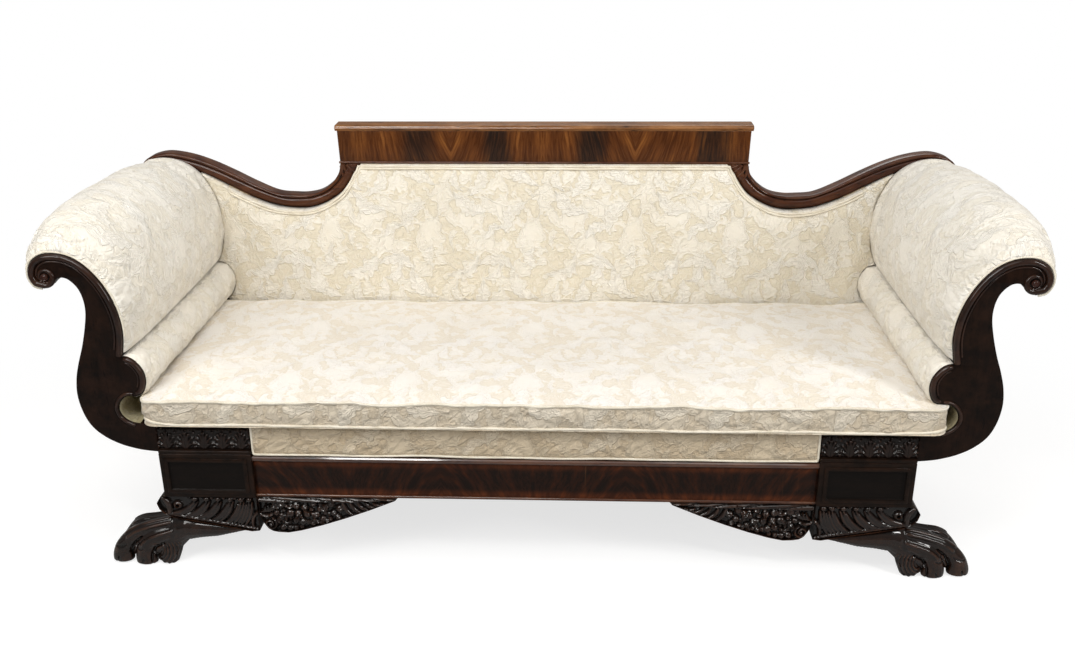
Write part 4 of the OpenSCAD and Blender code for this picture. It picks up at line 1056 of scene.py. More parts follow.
# Leaf fingers between the roll and the eye, and the turned boss in the eye
fingers = []
for k, turn in enumerate((-150, -122, -94, -66, -38)):
    a = math.radians(turn)
    along = np.linspace(0, 1, 8)
    reach = 0.0105 + 0.0085 * along
    swing = a - 0.45 * along
    path = np.stack([eye[0] + reach * np.cos(swing), eye[1] + reach * np.sin(swing)], 1)
    fingers.append(rod(f"volute_leaf_{k}", standing(path, FACE_Y - 0.0005),
        0.001 + 0.0026 * np.sin(np.pi * np.clip(along, 0.04, 0.96))))
join(thin_bead, fingers + [lobe_bead])
bpy.ops.mesh.primitive_cylinder_add(vertices=48, radius=0.0076, depth=0.006,
    location=(eye[0], FACE_Y - 0.0022, eye[1]), rotation=(math.pi / 2, 0, 0))
boss = bpy.context.object
boss.name = "eye_boss_right"
apply_places(boss)
select_faces(boss, lambda f: f.normal.y < -0.9)
bpy.ops.mesh.inset(thickness=0.0022)
bpy.ops.transform.translate(value=(0, 0.0012, 0))
bpy.ops.mesh.inset(thickness=0.0016)
bpy.ops.transform.translate(value=(0, -0.0016, 0))
bpy.ops.object.mode_set(mode="OBJECT")
bevel(boss, 0.0005, 3)
shade(boss)
boss_wood = carved_timber("boss_mahogany", (60, 60, 60), [(0.3, (0.02, 0.006, 0.004)), (0.7, (0.042, 0.012, 0.007))],
    0.4, (0.12, 0.045, 0.02), 0.4, 0.08, 0.1)

arm_dark = [(0.3, (0.0032, 0.0021, 0.0015)), (0.72, (0.011, 0.005, 0.0032))]
facing_wood = carved_timber("facing_mahogany", (30, 30, 5), arm_dark, 0.4, (0.065, 0.026, 0.013),
                            0.12, 0.08, 0.04)
roll_wood = carved_timber("moulding_mahogany", (30, 30, 12),
    [(0.3, (0.0055, 0.0025, 0.0017)), (0.72, (0.024, 0.0085, 0.0045))], 0.4, (0.09, 0.036, 0.017), 0.45, 0.06, 0.08)
for piece, wood, cad in ((facing, facing_wood, "facing"), (roll, roll_wood, "facing_moulding"),
        (thin_bead, roll_wood, "facing_moulding"), (lobe_roll, roll_wood, "lobe_moulding"),
        (notch_bead, roll_wood, "lobe_moulding"), (boss, boss_wood, "scroll_boss")):
    twin = mirror_copy(piece, piece.name.replace("_right", "_left"))
    dress(piece, wood, "carved_mahogany", "frame", cad + "_right")
    dress(twin, wood, "carved_mahogany", "frame", cad + "_left")

# ---------------------------------------------------------------- Back rails
# Serpentine mahogany rails from the crest to each arm, sawn from thick board and moulded:
# a bead along the top edge, a quirk, and a softly rounded face down to the upholstery.
CREST_HALF, RAIL_RUN, RAIL_LOW_Z, RAIL_RISE = 0.544, 0.518, 0.72, 0.114
rail_top_shares = [(0, 0.754), (0.014, 0.509), (0.056, 0.263), (0.116, 0.079), (0.185, 0.004), (0.253, 0),
    (0.349, 0.044), (0.461, 0.263), (0.573, 0.526), (0.681, 0.754), (0.788, 0.921), (0.894, 1), (0.967, 0.956),
    (1.02, 0.84), (1.055, 0.66)]
rail_low_shares = [(-0.108, 0.754), (-0.071, 0.553), (-0.05, 0.377), (0.002, 0.07), (0.089, -0.184), (0.174, -0.307),
    (0.261, -0.316), (0.365, -0.246), (0.492, -0.026), (0.575, 0.167), (0.668, 0.395), (0.793, 0.64), (0.886, 0.728),
    (0.96, 0.68), (1, 0.52)]
rail_top, rail_low = [smooth_line(np.array([CREST_HALF, RAIL_LOW_Z]) + np.array(s) * [RAIL_RUN, RAIL_RISE], 6)
    for s in (rail_top_shares, rail_low_shares)]
rail_profile = [(0, 0.3685), (0, 0.3345), (0.02, 0.3305), (0.07, 0.328), (0.14, 0.327), (0.21, 0.3282),
    (0.26, 0.3308), (0.285, 0.3345), (0.33, 0.335), (0.36, 0.3332), (0.48, 0.3308), (0.62, 0.33), (0.78, 0.3306),
    (0.9, 0.3322), (0.97, 0.335), (1, 0.339), (1, 0.3685)]
rings = [[(*(t + (l - t) * s)[:1], y, (t + (l - t) * s)[1]) for s, y in rail_profile]
    for t, l in zip(rail_top, rail_low)]
back_rail = loft("serpentine_rail_right", rings)
shade(back_rail, 50)
rail_figure = carved_timber("serpentine_mahogany", (6, 30, 26), RED_BROWN, 0.45, (0.19, 0.08, 0.032),
                            0.45, 0.07, 0.08)
dress(back_rail, rail_figure, "mahogany", "frame", "back_rail_right")
dress(mirror_copy(back_rail, "serpentine_rail_left"), rail_figure, "mahogany", "frame", "back_rail_left")

# Small leaves carved where each rail comes out from under the crest
leaves = []
for k, (a, b, bow, thick) in enumerate([((0.536, 0.803), (0.516, 0.772), 0.004, 0.0055),
        ((0.527, 0.804), (0.505, 0.785), 0.003, 0.0048), ((0.541, 0.8), (0.53, 0.76), 0.004, 0.005),
        ((0.516, 0.804), (0.498, 0.796), 0.002, 0.004)]):
    path = bowed(a, b, bow, 12)
    leaves.append(rod(f"rail_leaf_{k}", standing(path, 0.3312), thick * np.linspace(1, 0.25, 12)))
leaves = join(leaves[0], leaves[1:])
leaves.name = "rail_leaves_right"
dress(leaves, rail_figure, "mahogany", "frame")
dress(mirror_copy(leaves, "rail_leaves_left"), rail_figure, "mahogany", "frame")

finish_solids(["arm_post_left", "arm_post_right"], rail_wood)

# ---------------------------------------------------------------- Crest
# A tablet faced with crotch mahogany in matched leaves, a rounded moulding planed along its
# top and a bead along its foot.
crest_veneer, tree, shader, colour, place = veneered("crest_crotch_veneer", 3.4, 0.245, 0,
    (0.05, -0.545, 0.545, [(0.0, 0.2), (0.1, 0.0), (0.14, 0.05), (0.175, 0.8), (0.215, 0.75), (0.25, 0.05),
    (0.34, 0.0), (0.375, 0.95), (0.405, 0.9), (0.435, 0.05), (0.57, 0.0), (0.6, 0.95), (0.635, 0.9), (0.665, 0.05),
    (0.865, 0.0), (0.885, 0.9), (0.945, 0.75), (0.965, 0.1), (1.0, 0.0)]),
    ((0.125, 0.041, 0.0095), (0.235, 0.088, 0.021)), ((0.036, 0.011, 0.0034), (0.078, 0.024, 0.006)),
    (0.014, 0.0085, 0.0062), 0.18, 0.1, 0.08)
tablet = cut_board("crest_tablet_veneered", [(-0.544, 0.806), (0.544, 0.806), (0.547, 0.894), (-0.547, 0.894)],
    0.3335, 0.3595, 0.0008)
shade(tablet)
dress(tablet, crest_veneer, "flame_veneer", "frame", "crest_tablet")
GOLDEN = [(0.28, (0.07, 0.026, 0.0085)), (0.5, (0.175, 0.068, 0.02)), (0.74, (0.32, 0.14, 0.044))]
cap_wood = carved_timber("crest_cap_mahogany", (4, 34, 34), GOLDEN, 0.35, (0.36, 0.18, 0.07),
                         0.4, 0.04, 0.05)
cap_profile = [(0.3855, 0.894), (0.3855, 0.9075), (0.384, 0.909), (0.338, 0.909), (0.3352, 0.9086), (0.333, 0.9077),
    (0.3314, 0.9064), (0.3304, 0.9044), (0.3294, 0.9026), (0.3288, 0.9008), (0.329, 0.8994), (0.3302, 0.898),
    (0.3322, 0.8972), (0.3322, 0.8955), (0.333, 0.894)]
ends = [(-0.553, 0.0015), (-0.5515, 0.0), (0.5515, 0.0), (0.553, 0.0015)]
middle = np.mean(cap_profile, 0)
rings = [[(x, y + math.copysign(shrink, middle[0] - y), z + math.copysign(shrink, middle[1] - z))
    for y, z in cap_profile] for x, shrink in ends]
cap = loft("crest_cap_moulded", rings)
shade(cap, 16)
dress(cap, cap_wood, "mahogany", "frame", "crest_cap")
crest_bead = rod("crest_foot_bead_turned", [(x, 0.3328, 0.8092) for x in np.linspace(-0.5465, 0.5465, 30)], 0.0031)
dress(crest_bead, rail_figure, "mahogany", "frame", "crest_foot_bead")

# ---------------------------------------------------------------- Webbing, deck and dust cover
# Jute straps are tacked across the seat, the arms and the back. A thin hair pad under calico
# lies on the seat straps, and black cambric is tacked under the rails to keep dust in.


def weave(flat, pitch):
    """Crossing threads of a plain weave."""
    axes = axes_of(flat)
    warp, weft = [calc("SINE", times(axes[k], 2 * math.pi / pitch)) for k in (0, 1)]
    return times(warp, weft)


jute, tree, shader = new_material("jute_webbing", Roughness=0.85, Sheen_Weight=0.2)
place = object_place(tree)
twill = calc("MULTIPLY_ADD", weave(place, 0.0021), 0.5, 0.5)
fibre = noise(place, 260.0, 4.0)
mixed = calc("ADD", times(twill, 0.5), times(fibre, 0.5))
feed(shader.inputs["Base Color"],
    ramp(tree, mixed, [(0.2, (0.16, 0.1, 0.045)), (0.5, (0.34, 0.24, 0.12)), (0.8, (0.5, 0.38, 0.21))]))
bump_up(shader, 0.6, 0.0006, mixed)
finish_solids(("seat_webbing", "arm_webbing_left", "arm_webbing_right", "back_webbing"), jute)


def loop_points(mesh):
    """The point that each face corner stands on."""
    corner = np.zeros(len(mesh.loops), np.int32)
    mesh.loops.foreach_get("vertex_index", corner)
    return corner


def lay_out(mesh, flat):
    """Stores where each face corner lies on the cut cloth, in metres."""
    mesh.uv_layers.new(name="cloth").data.foreach_set("uv", flat.astype(np.float32).ravel())


def cloth_grid(name, places, flat, wrap=False):
    """A skin over rows and columns of points; flat is where each point lies on the cut cloth."""
    rows, cols = places.shape[:2]
    i, j = np.meshgrid(np.arange(rows - 1), np.arange(cols - (not wrap)), indexing="ij")
    along = (j + 1) % cols
    corners = [i * cols + j, i * cols + along, (i + 1) * cols + along, (i + 1) * cols + j]
    faces = np.stack(corners, -1).reshape(-1, 4).tolist()
    if wrap:
        faces += [list(range(cols))[::-1], [(rows - 1) * cols + k for k in range(cols)]]
    mesh = skin(name, places.reshape(-1, 3), faces)
    lay_out(mesh, flat.reshape(-1, 2)[loop_points(mesh)])
    made = put_in(name, mesh)
    turn_outwards(made)
    bpy.ops.object.shade_smooth()
    return made


ONE, BOTH = (0, 1), (-1, 1)


def shares_over(first, second, rows, cols):
    """Even shares down the rows and along the columns of a grid, from first and from second."""
    return np.meshgrid(np.linspace(*first, rows), np.linspace(*second, cols), indexing="ij")


def ripple(x, y, size, seed, waves=20):
    """Soft seeded unevenness between about -1 and 1, with lumps of the given size."""
    rng = np.random.default_rng(seed)
    total = np.zeros(np.broadcast(x, y).shape)
    for _ in range(waves):
        turn, phase = rng.uniform(0, 2 * math.pi, 2)
        reach = 2 * math.pi / (size * rng.uniform(1.2, 3.5))
        total += np.cos(reach * (x * math.cos(turn) + y * math.sin(turn)) + phase)
    return total / math.sqrt(waves / 2) / 1.6


# The deck: a shallow pad with a rounded edge, quilted in three rows by the stuffing ties
calico, tree, shader = new_material("calico_decking", Roughness=0.85, Sheen_Weight=0.15)
flat = cloth_place(tree)
slub = noise(flat, 240.0, 4.0)
stain = noise(flat, 7.0, 3.0)
mixed = calc("ADD", times(slub, 0.4), times(stain, 0.6))
feed(shader.inputs["Base Color"], ramp(tree, mixed, [(0.3, (0.52, 0.46, 0.35)), (0.7, (0.7, 0.65, 0.54))]))
threads = weave(flat, 0.0009)
bump_up(shader, 0.4, 0.0003, calc("ADD", threads, slub))
u, v = shares_over(BOTH, BOTH, 240, 96)
DECK_HALF_X, DECK_HALF_Y, DECK_MID_Y = 0.8525, 0.3275, 0.0035
x, y = DECK_HALF_X * u, DECK_MID_Y + DECK_HALF_Y * v
edge_gap = np.minimum(DECK_HALF_X - np.abs(x), DECK_HALF_Y - np.abs(y - DECK_MID_Y))
tie = np.zeros(x.shape)
for tie_x in np.linspace(-0.7, 0.7, 9):
    for tie_y in (-0.16, 0.01, 0.17):
        tie += np.exp(-(((x - tie_x) ** 2 + (y - tie_y) ** 2) / 0.018**2))
rounding = 0.006 * np.sqrt(np.clip(1 - (1 - edge_gap / 0.012).clip(0, 1) ** 2, 0, 1))
top = 0.3725 + rounding + 0.0005 * ripple(x, y, 0.05, 3) - 0.0035 * tie
upper = np.stack([x, y, top], -1)
lower = np.stack([x, y, np.full(x.shape, 0.3703)], -1)[:, ::-1]
deck = cloth_grid("deck_pad_calico", np.concatenate([upper, lower], 1),
    np.concatenate([upper[..., :2], lower[..., :2]], 1), wrap=True)
shade(deck, 50)
dress(deck, calico, "webbing", "frame", "deck_pad")

# The dust cover: one layer of glazed cambric that sags a little between its tacks
cambric, tree, shader = new_material("black_cambric", Roughness=0.75, Sheen_Weight=0.1)
flat = cloth_place(tree)
dust = noise(flat, 14.0, 6.0, 0.65)
feed(shader.inputs["Base Color"], ramp(tree, dust, [(0.35, (0.006, 0.006, 0.0065)), (0.7, (0.022, 0.021, 0.02))]))
bump_up(shader, 0.4, 0.0003, weave(flat, 0.0012))
low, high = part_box("dust_cover")
u, v = shares_over(ONE, ONE, 120, 48)
x, y = low.x + (high.x - low.x) * u, low.y + (high.y - low.y) * v
sag = np.sin(math.pi * u) ** 0.5 * np.sin(math.pi * v) ** 0.7
z = high.z - 0.0006 - 0.004 * sag * (0.8 + 0.2 * ripple(x, y, 0.12, 5)) - 0.0006 * sag * ripple(x, y, 0.02, 6)
dust_cloth = cloth_grid("dust_cover_cambric", np.stack([x, y, z], -1), np.stack([x, y], -1))
dress(dust_cloth, cambric, "cambric", "frame", "dust_cover")

# ---------------------------------------------------------------- Arms
# Hair stuffing over webbing under cream damask. The cloth is pulled round the scroll and
# gathered behind the facing, which puckers it. A separate roll fills the lobe at the seat.

# Damask: leaves and flower heads in satin on a duller ground, with raised outlines; each outline carries a painted
# highlight, and a painted shadow line runs beside it
leaf_shape, start, end = new_group(
    "damask_leaf",
    {"Vector": (0, 0, 0), "Centre X": 0.0, "Centre Y": 0.0, "Turn": 0.0,
     "Length": 0.04, "Width": 0.015, "Bend": 0.3, "Lobes": 9.0},
    ["Inside", "Outline", "Shadow"],
)
centre = add(leaf_shape, "ShaderNodeCombineXYZ", {0: start["Centre X"], 1: start["Centre Y"]})
turned = add(leaf_shape, "ShaderNodeVectorRotate",
    {"Vector": start["Vector"], "Center": centre.outputs[0], "Angle": start["Turn"]}, rotation_type="Z_AXIS")
local = move_by("SUBTRACT", turned.outputs[0], centre.outputs[0])
axes = axes_of(local)
share = calc("DIVIDE", axes[0], start["Length"])
square = times(share, share)
bent = calc("SUBTRACT", axes[1], times(times(square, start["Bend"]), start["Length"]))
lobes = calc("ABSOLUTE", calc("SINE", times(share, start["Lobes"])))
half = times(calc("SUBTRACT", 1.0, square), times(start["Width"], calc("MULTIPLY_ADD", lobes, 0.35, 0.65)))
inner = calc("SUBTRACT", half, calc("ABSOLUTE", bent))
inside = span(inner, -0.0006, 0.0014, kind="SMOOTHSTEP")
rim = span(calc("ABSOLUTE", inner), 0.0, 0.0026, 1.0, 0.0)
rib = span(calc("ABSOLUTE", bent), 0.0, 0.0018, 1.0, 0.0)
within = calc("LESS_THAN", square, 1.05)
barbs = calc("SINE", times(calc("ADD", axes[0], calc("ABSOLUTE", bent)), 2 * math.pi / 0.007))
barbs = times(calc("MAXIMUM", barbs, 0.0), times(inside, 0.55))
rim = calc("MAXIMUM", rim, barbs)
# A painted shadow line just outside the rim
outside = calc("ABSOLUTE", calc("ADD", inner, 0.0034))
shadow = span(outside, 0.0, 0.0024, 1.0, 0.0)
feed(end["Shadow"], times(shadow, within))
feed(end["Inside"], times(inside, within))
feed(end["Outline"], times(calc("MAXIMUM", rim, times(rib, inside)), within))

damask, start, end = new_group(
    "damask_figure",
    {"Vector": (0, 0, 0)},
    ["Figure", "Raised", "Shadow", "Cloud", "Threads"],
)
REPEAT = (0.272, 0.306)
drawn = noise(start["Vector"], 26.0, 2.0, give="Color")
shake = move_by("SUBTRACT", drawn, (0.5, 0.5, 0.5))
shaken = move_by("MULTIPLY_ADD", shake, (0.024, 0.024, 0.0), start["Vector"])
repeat_cell = move_by("WRAP", shaken, (0, 0, -1), (*REPEAT, 1))
figure, raised, shadow = 0.0, 0.0, 0.0
motif = [(0.07, 0.085, 0.5, 0.052, 0.02, 0.35, 9.0), (0.11, 0.15, 1.9, 0.046, 0.017, -0.4, 8.0),
    (0.062, 0.212, -0.5, 0.05, 0.019, 0.5, 9.0), (0.19, 0.07, -0.9, 0.048, 0.018, -0.35, 8.0),
    (0.205, 0.175, 0.9, 0.056, 0.021, 0.4, 10.0), (0.15, 0.25, 0.1, 0.05, 0.018, -0.45, 8.0),
    (0.235, 0.255, 1.5, 0.032, 0.014, 0.4, 7.0), (0.036, 0.15, 1.2, 0.03, 0.012, 0.5, 6.0),
    (0.14, 0.03, 2.6, 0.036, 0.013, 0.4, 6.0), (0.145, 0.205, 2.4, 0.03, 0.011, -0.5, 5.0)]
for cx, cy, turn, length, width, bend, lobes in motif:
    shape = use_group(damask, leaf_shape, {"Vector": repeat_cell, "Centre X": cx, "Centre Y": cy, "Turn": turn,
                                           "Length": length, "Width": width, "Bend": bend, "Lobes": lobes})
    figure = calc("MAXIMUM", figure, shape["Inside"])
    raised = calc("MAXIMUM", raised, shape["Outline"])
    shadow = calc("MAXIMUM", shadow, shape["Shadow"])
axes = axes_of(repeat_cell)
for level, reach, turns, phase in ((0.115, 0.026, 1, 0.4), (0.235, 0.022, 2, 2.0)):
    wave = calc("SINE", calc("MULTIPLY_ADD", axes[0], 2 * math.pi * turns / REPEAT[0], phase))
    away = calc("ABSOLUTE", calc("SUBTRACT", calc("MULTIPLY_ADD", wave, reach, level), axes[1]))
    stem = span(away, 0.0, 0.0028, 1.0, 0.0)
    raised = calc("MAXIMUM", raised, stem)
# The repeat is wound on two circles, so that the cloudy patches meet at its edges
shaken_axes = axes_of(shaken)
ring = []
for axis, length in enumerate(REPEAT):
    turn = times(shaken_axes[axis], 2 * math.pi / length)
    ring += [times(calc(wave, turn), length / (2 * math.pi)) for wave in ("COSINE", "SINE")]
wound = add(damask, "ShaderNodeCombineXYZ", dict(enumerate(ring[:3])))
clouds = add(damask, "ShaderNodeTexNoise", {"Vector": wound.outputs[0], "W": ring[3], "Scale": 22.0, "Detail": 3.5,
    "Roughness": 0.55, "Distortion": 0.35}, noise_dimensions="4D")
cloud = span(clouds.outputs["Fac"], 0.492, 0.512, kind="SMOOTHSTEP")
# Contour lines of the clouds: a raised line, and a painted shadow line beside it
for level, depth, half in ((0.502, 0.9, 0.026), (0.42, 0.6, 0.02), (0.585, 0.7, 0.02)):
    past = calc("SUBTRACT", clouds.outputs["Fac"], level)
    line = span(calc("ABSOLUTE", past), 0.0, half, depth, 0.0)
    beyond = calc("ABSOLUTE", calc("ADD", past, 1.5 * half))
    dark_line = span(beyond, 0.0, 0.9 * half, depth, 0.0)
    raised = calc("MAXIMUM", raised, line)
    shadow = calc("MAXIMUM", shadow, dark_line)
sprig = add(damask, "ShaderNodeTexVoronoi", {"Vector": shaken, "Scale": 62.0}, feature="DISTANCE_TO_EDGE")
veins = span(sprig.outputs["Distance"], 0.0, 0.09, 1.0, 0.0)
raised = calc("MAXIMUM", raised, times(veins, times(calc("SUBTRACT", 1.0, figure), 0.28)))
flat_axes = axes_of(start["Vector"])
diagonal = calc("ADD", flat_axes[0], times(flat_axes[1], calc("MULTIPLY_ADD", figure, -1.6, 0.8)))
rep_lines = calc("SINE", times(diagonal, 2 * math.pi / 0.0016))
threads = calc("ADD", times(rep_lines, 0.5), times(weave(start["Vector"], 0.0008), 0.5))
feed(end["Figure"], figure)
feed(end["Raised"], raised)
feed(end["Shadow"], times(shadow, calc("SUBTRACT", 1.0, raised)))
feed(end["Cloud"], cloud)
feed(end["Threads"], threads)


def damask_cloth(name, ground, satin, cloud_colour, emboss, drawn=0.36, wrinkled=0.0):
    """Cream damask: a dull ground, lighter satin leaves, cloudy patches, raised outlines with a painted highlight and
    a painted shadow line beside them.
    """
    made, tree, shader = new_material(name, Sheen_Weight=0.12, Sheen_Roughness=0.5, Specular_IOR_Level=0.35)
    flat = cloth_place(tree)
    cloth = use_group(tree, damask, {"Vector": flat})
    colour = blend_colours(tree, cloth["Cloud"], ground, cloud_colour)
    colour = blend_colours(tree, times(cloth["Figure"], 0.85), colour, satin)
    soil = noise(flat, 5.0, 4.0, 0.6)
    aged = span(soil, 0.45, 0.75, 0, 0.5)
    colour = blend_colours(tree, aged, colour, tuple(c * k for c, k in zip(ground, (0.93, 0.9, 0.84))))
    # Painted shadow: a darker line beside each raised outline
    colour = blend_colours(tree, times(cloth["Shadow"], drawn), colour,
        tuple(c * k for c, k in zip(ground, (0.84, 0.81, 0.76))))
    # Painted highlight: the raised outlines are blended towards the satin colour
    feed(shader.inputs["Base Color"], blend_colours(tree, times(cloth["Raised"], 1.5 * drawn), colour, satin))
    feed(shader.inputs["Roughness"], calc("MULTIPLY_ADD", cloth["Figure"], -0.17, 0.72))
    height = calc("ADD", times(cloth["Raised"], emboss), times(cloth["Figure"], 0.25 * emboss))
    height = calc("MULTIPLY_ADD", cloth["Threads"], 0.1, height)
    height = calc("MULTIPLY_ADD", cloth["Shadow"], -0.5 * emboss, height)
    if wrinkled:
        leaning = add(tree, "ShaderNodeMapping",
            {"Vector": flat, "Rotation": (0, 0, 0.6), "Scale": (1.0, 0.42, 1.0)}, vector_type="TEXTURE")
        wrinkles = noise(leaning.outputs[0], 30.0, 2.5, 0.45, 0.6)
        height = calc("MULTIPLY_ADD", wrinkles, wrinkled, height)
    bump_up(shader, 0.9, 0.0013, height)
    return made


def spread(few, rows, cols):
    """Blends a coarse grid of moves smoothly up to a finer grid."""
    def shares(count, wanted):
        at = np.linspace(0, count - 1, wanted)
        base = np.clip(np.floor(at), 0, count - 2).astype(int)
        t = at - base
        parts = ((-t + 2 * t**2 - t**3) / 2, (2 - 5 * t**2 + 3 * t**3) / 2, (t + 4 * t**2 - 3 * t**3) / 2,
            (-(t**2) + t**3) / 2)
        table = np.zeros((wanted, count))
        for shift, part in zip((-1, 0, 1, 2), parts):
            np.add.at(table, (np.arange(wanted), np.clip(base + shift, 0, count - 1)), part)
        return table
    return np.einsum("ri,ijk,cj->rck", shares(few.shape[0], rows), few, shares(few.shape[1], cols))


def settle(places, held, outside, pressure, growth, cap, frames=18):
    """Lets a coarse copy of the cloth swell between its tacked edges; gives each point's move."""
    rows, cols = places.shape[:2]
    i, j = np.meshgrid(np.arange(rows - 1), np.arange(cols - 1), indexing="ij")
    faces = np.stack([i * cols + j, i * cols + j + 1, (i + 1) * cols + j + 1, (i + 1) * cols + j], -1).reshape(-1, 4)
    flat = places.reshape(-1, 3)
    a, b, c = flat[faces[:, 0]], flat[faces[:, 1]], flat[faces[:, 3]]
    if np.sum(np.cross(b - a, c - a) * outside) < 0:
        faces = faces[:, ::-1]
    copy = put_in("settling", skin("settling", flat, faces.tolist()))
    tacks = copy.vertex_groups.new(name="tacks")
    tacks.add(np.flatnonzero(held.ravel()).tolist(), 1.0, "REPLACE")
    cloth = copy.modifiers.new("cloth", "CLOTH")
    for setting, value in {"vertex_group_mass": "tacks", "quality": 6, "mass": 0.3, "tension_stiffness": 30,
            "compression_stiffness": 15, "shear_stiffness": 8, "bending_stiffness": 0.15, "shrink_min": -growth,
            "use_pressure": True, "uniform_pressure_force": pressure}.items():
        setattr(cloth.settings, setting, value)
    cloth.settings.effector_weights.gravity = 0
    cloth.point_cache.frame_start, cloth.point_cache.frame_end = 1, frames
    for frame_number in range(1, frames + 1):
        scene.frame_set(frame_number)
    work_on(copy)
    bpy.ops.object.modifier_apply(modifier=cloth.name)
    moved = points_of(copy).reshape(rows, cols, 3) - places
    bpy.data.objects.remove(copy)
    scene.frame_set(1)
    far = np.linalg.norm(moved, axis=-1, keepdims=True)
    return moved * np.minimum(1, cap / np.maximum(far, 1e-9))


def pinch(along, behind, gathers):
    """How deep the gathers are: each is a groove with raised sides that fades away from the edge."""
    total = np.zeros(np.broadcast(along, behind).shape)
    for at, lean, reach, depth, width in gathers:
        fade = np.clip(1 - behind / reach, 0, 1) ** 1.3
        wide = width * (0.55 + 0.9 * np.clip(behind / reach, 0, 1))
        q = (along - at - lean * behind) / wide
        total += depth * fade * (1.35 * np.exp(-(q**2)) - 0.55 * np.exp(-((q / 2.2) ** 2)))
    return total


BOARD_BACK, ARM_REAR = FACE_Y + 0.034, 0.332
ARM_DEPTH = ARM_REAR - FACE_Y
pad_path = smooth_line(FACING_LOW + FACING_SIZE * np.array(edge_shares[:-1] + [(0.212, 0.516)]), 16)
swell_shares = [0.0, 0.14, 0.54, 0.74, 0.88, 0.97, 1, 1, 0.97, 0.88, 0.72, 0.56, 0.44, 0.34, 0.2]
pad_swell = 0.064 * smooth_line(np.array(swell_shares)[:, None], 16)[:, 0]
pad_run = smooth_line([(0, 0.02), (0.0085, 0.16), (0.02, 0.3), (0.05, 0.48), (0.115, 0.72), (0.23, 0.92), (0.43, 1),
    (0.7, 0.95), (0.87, 0.82), (1, 0.68)], 8)
roll_path = smooth_line(FACING_LOW + FACING_SIZE * np.array(lobe_shares), 16)
roll_swell = 0.007 * smooth_line(np.array([-0.3, 0.5, 1, 1, 1, 0.8, 0.3])[:, None], 16)[:, 0]
roll_run = smooth_line([(0, 0.1), (0.0085, 0.35), (0.018, 0.7), (0.05, 1), (0.5, 1.1), (1, 1)], 8)


def stuffed(path, swell, run, u, v, least):
    """Places on a stuffed form: u along its edge, v from the facing to the back."""
    steps = run_along(path)
    outward = offset_line(path, 1) - path
    at = u * steps[-1]
    back = 0.0015 + (ARM_DEPTH - 0.0015) * v**1.35
    x, z, nx, nz, s = [np.interp(at, steps, line) for line in (*path.T, *outward.T, swell)]
    proud = np.maximum(s * np.interp(back / ARM_DEPTH, *run.T), least)
    places = np.stack([x + nx * proud, FACE_Y + back, z + nz * proud], -1)
    return places, at, back, np.stack([nx, np.zeros_like(nx), nz], -1)


def stuffed_piece(name, path, swell, run, depth, gathers, lumps, seed, push, cap, cols, rows, growth):
    """The stuffed cover: outer cloth with its gathers, and the inner side tacked to the rails."""
    few_v, few_u = shares_over(ONE, ONE, rows // 3, cols // 3)
    coarse, *_, coarse_out = stuffed(path, swell, run, few_u, few_v, 0.001)
    held = (few_v == 0) | (few_v == 1) | (few_u == 0) | (few_u == 1)
    moves = settle(coarse, held, coarse_out.reshape(-1, 3)[: (rows // 3 - 1) * (cols // 3 - 1)].mean(0), push,
        growth, cap)
    v, u = shares_over(ONE, ONE, rows, cols)
    outer, along, behind, out = stuffed(path, swell, run, u, v, 0.001)
    outer = outer + spread(moves, rows, cols)
    sink = pinch(along, behind, gathers)
    edges = np.clip(np.minimum(u, 1 - u) * 14, 0, 1) * np.clip((1 - v) * 10, 0, 1) * np.clip(behind / 0.02, 0, 1)
    soft = lumps * ripple(along, behind, 0.06, seed) + 0.35 * lumps * ripple(along, behind, 0.022, seed + 1)
    drawn_in = np.abs(ripple(along + 0.4 * behind, behind, 0.045, seed + 2))
    soft = soft - 0.0016 * drawn_in * np.clip(1.3 - behind / 0.25, 0.15, 1)
    outer = outer + out * (soft * edges - sink * np.clip(behind / 0.006, 0.15, 1))[..., None]
    few = np.linspace(1, 0, 26)
    inner_v, inner_u = np.meshgrid(np.linspace(0, 1, rows), few, indexing="ij")
    line, _, inner_back, inner_out = stuffed(path, np.zeros(len(path)), run, inner_u, inner_v, 0)
    drop = np.where(inner_back < BOARD_BACK - FACE_Y + 0.0005, 0.0006, -depth)[..., None]
    inner = line + inner_out * drop
    flat_outer = np.stack([-along, behind], -1)
    flat_inner = np.stack([inner_u, inner_back], -1)
    return cloth_grid(name, np.concatenate([outer, inner], 1), np.concatenate([flat_outer, flat_inner], 1), wrap=True)


arm_cloth = damask_cloth("damask_on_arms", (0.825, 0.775, 0.675), (0.9, 0.865, 0.795), (0.86, 0.82, 0.74), 1.4, 0.4,
    2.0)
roll_cloth = damask_cloth("damask_on_rolls", (0.825, 0.77, 0.66), (0.89, 0.85, 0.77), (0.86, 0.81, 0.72), 1.3, 0.4,
    2.0)
cord_cloth, tree, shader = new_material("damask_cord", Roughness=0.75, Sheen_Weight=0.15)
place = object_place(tree)
bias = noise(place, 420.0, 3.0)
shade_noise = noise(place, 30.0, 3.0)
both = calc("ADD", times(bias, 0.4), times(shade_noise, 0.6))
feed(shader.inputs["Base Color"],
    ramp(tree, both, [(0.3, (0.62, 0.55, 0.42)), (0.55, (0.78, 0.72, 0.6)), (0.75, (0.85, 0.81, 0.71))]))
bump_up(shader, 0.5, 0.0004, bias)

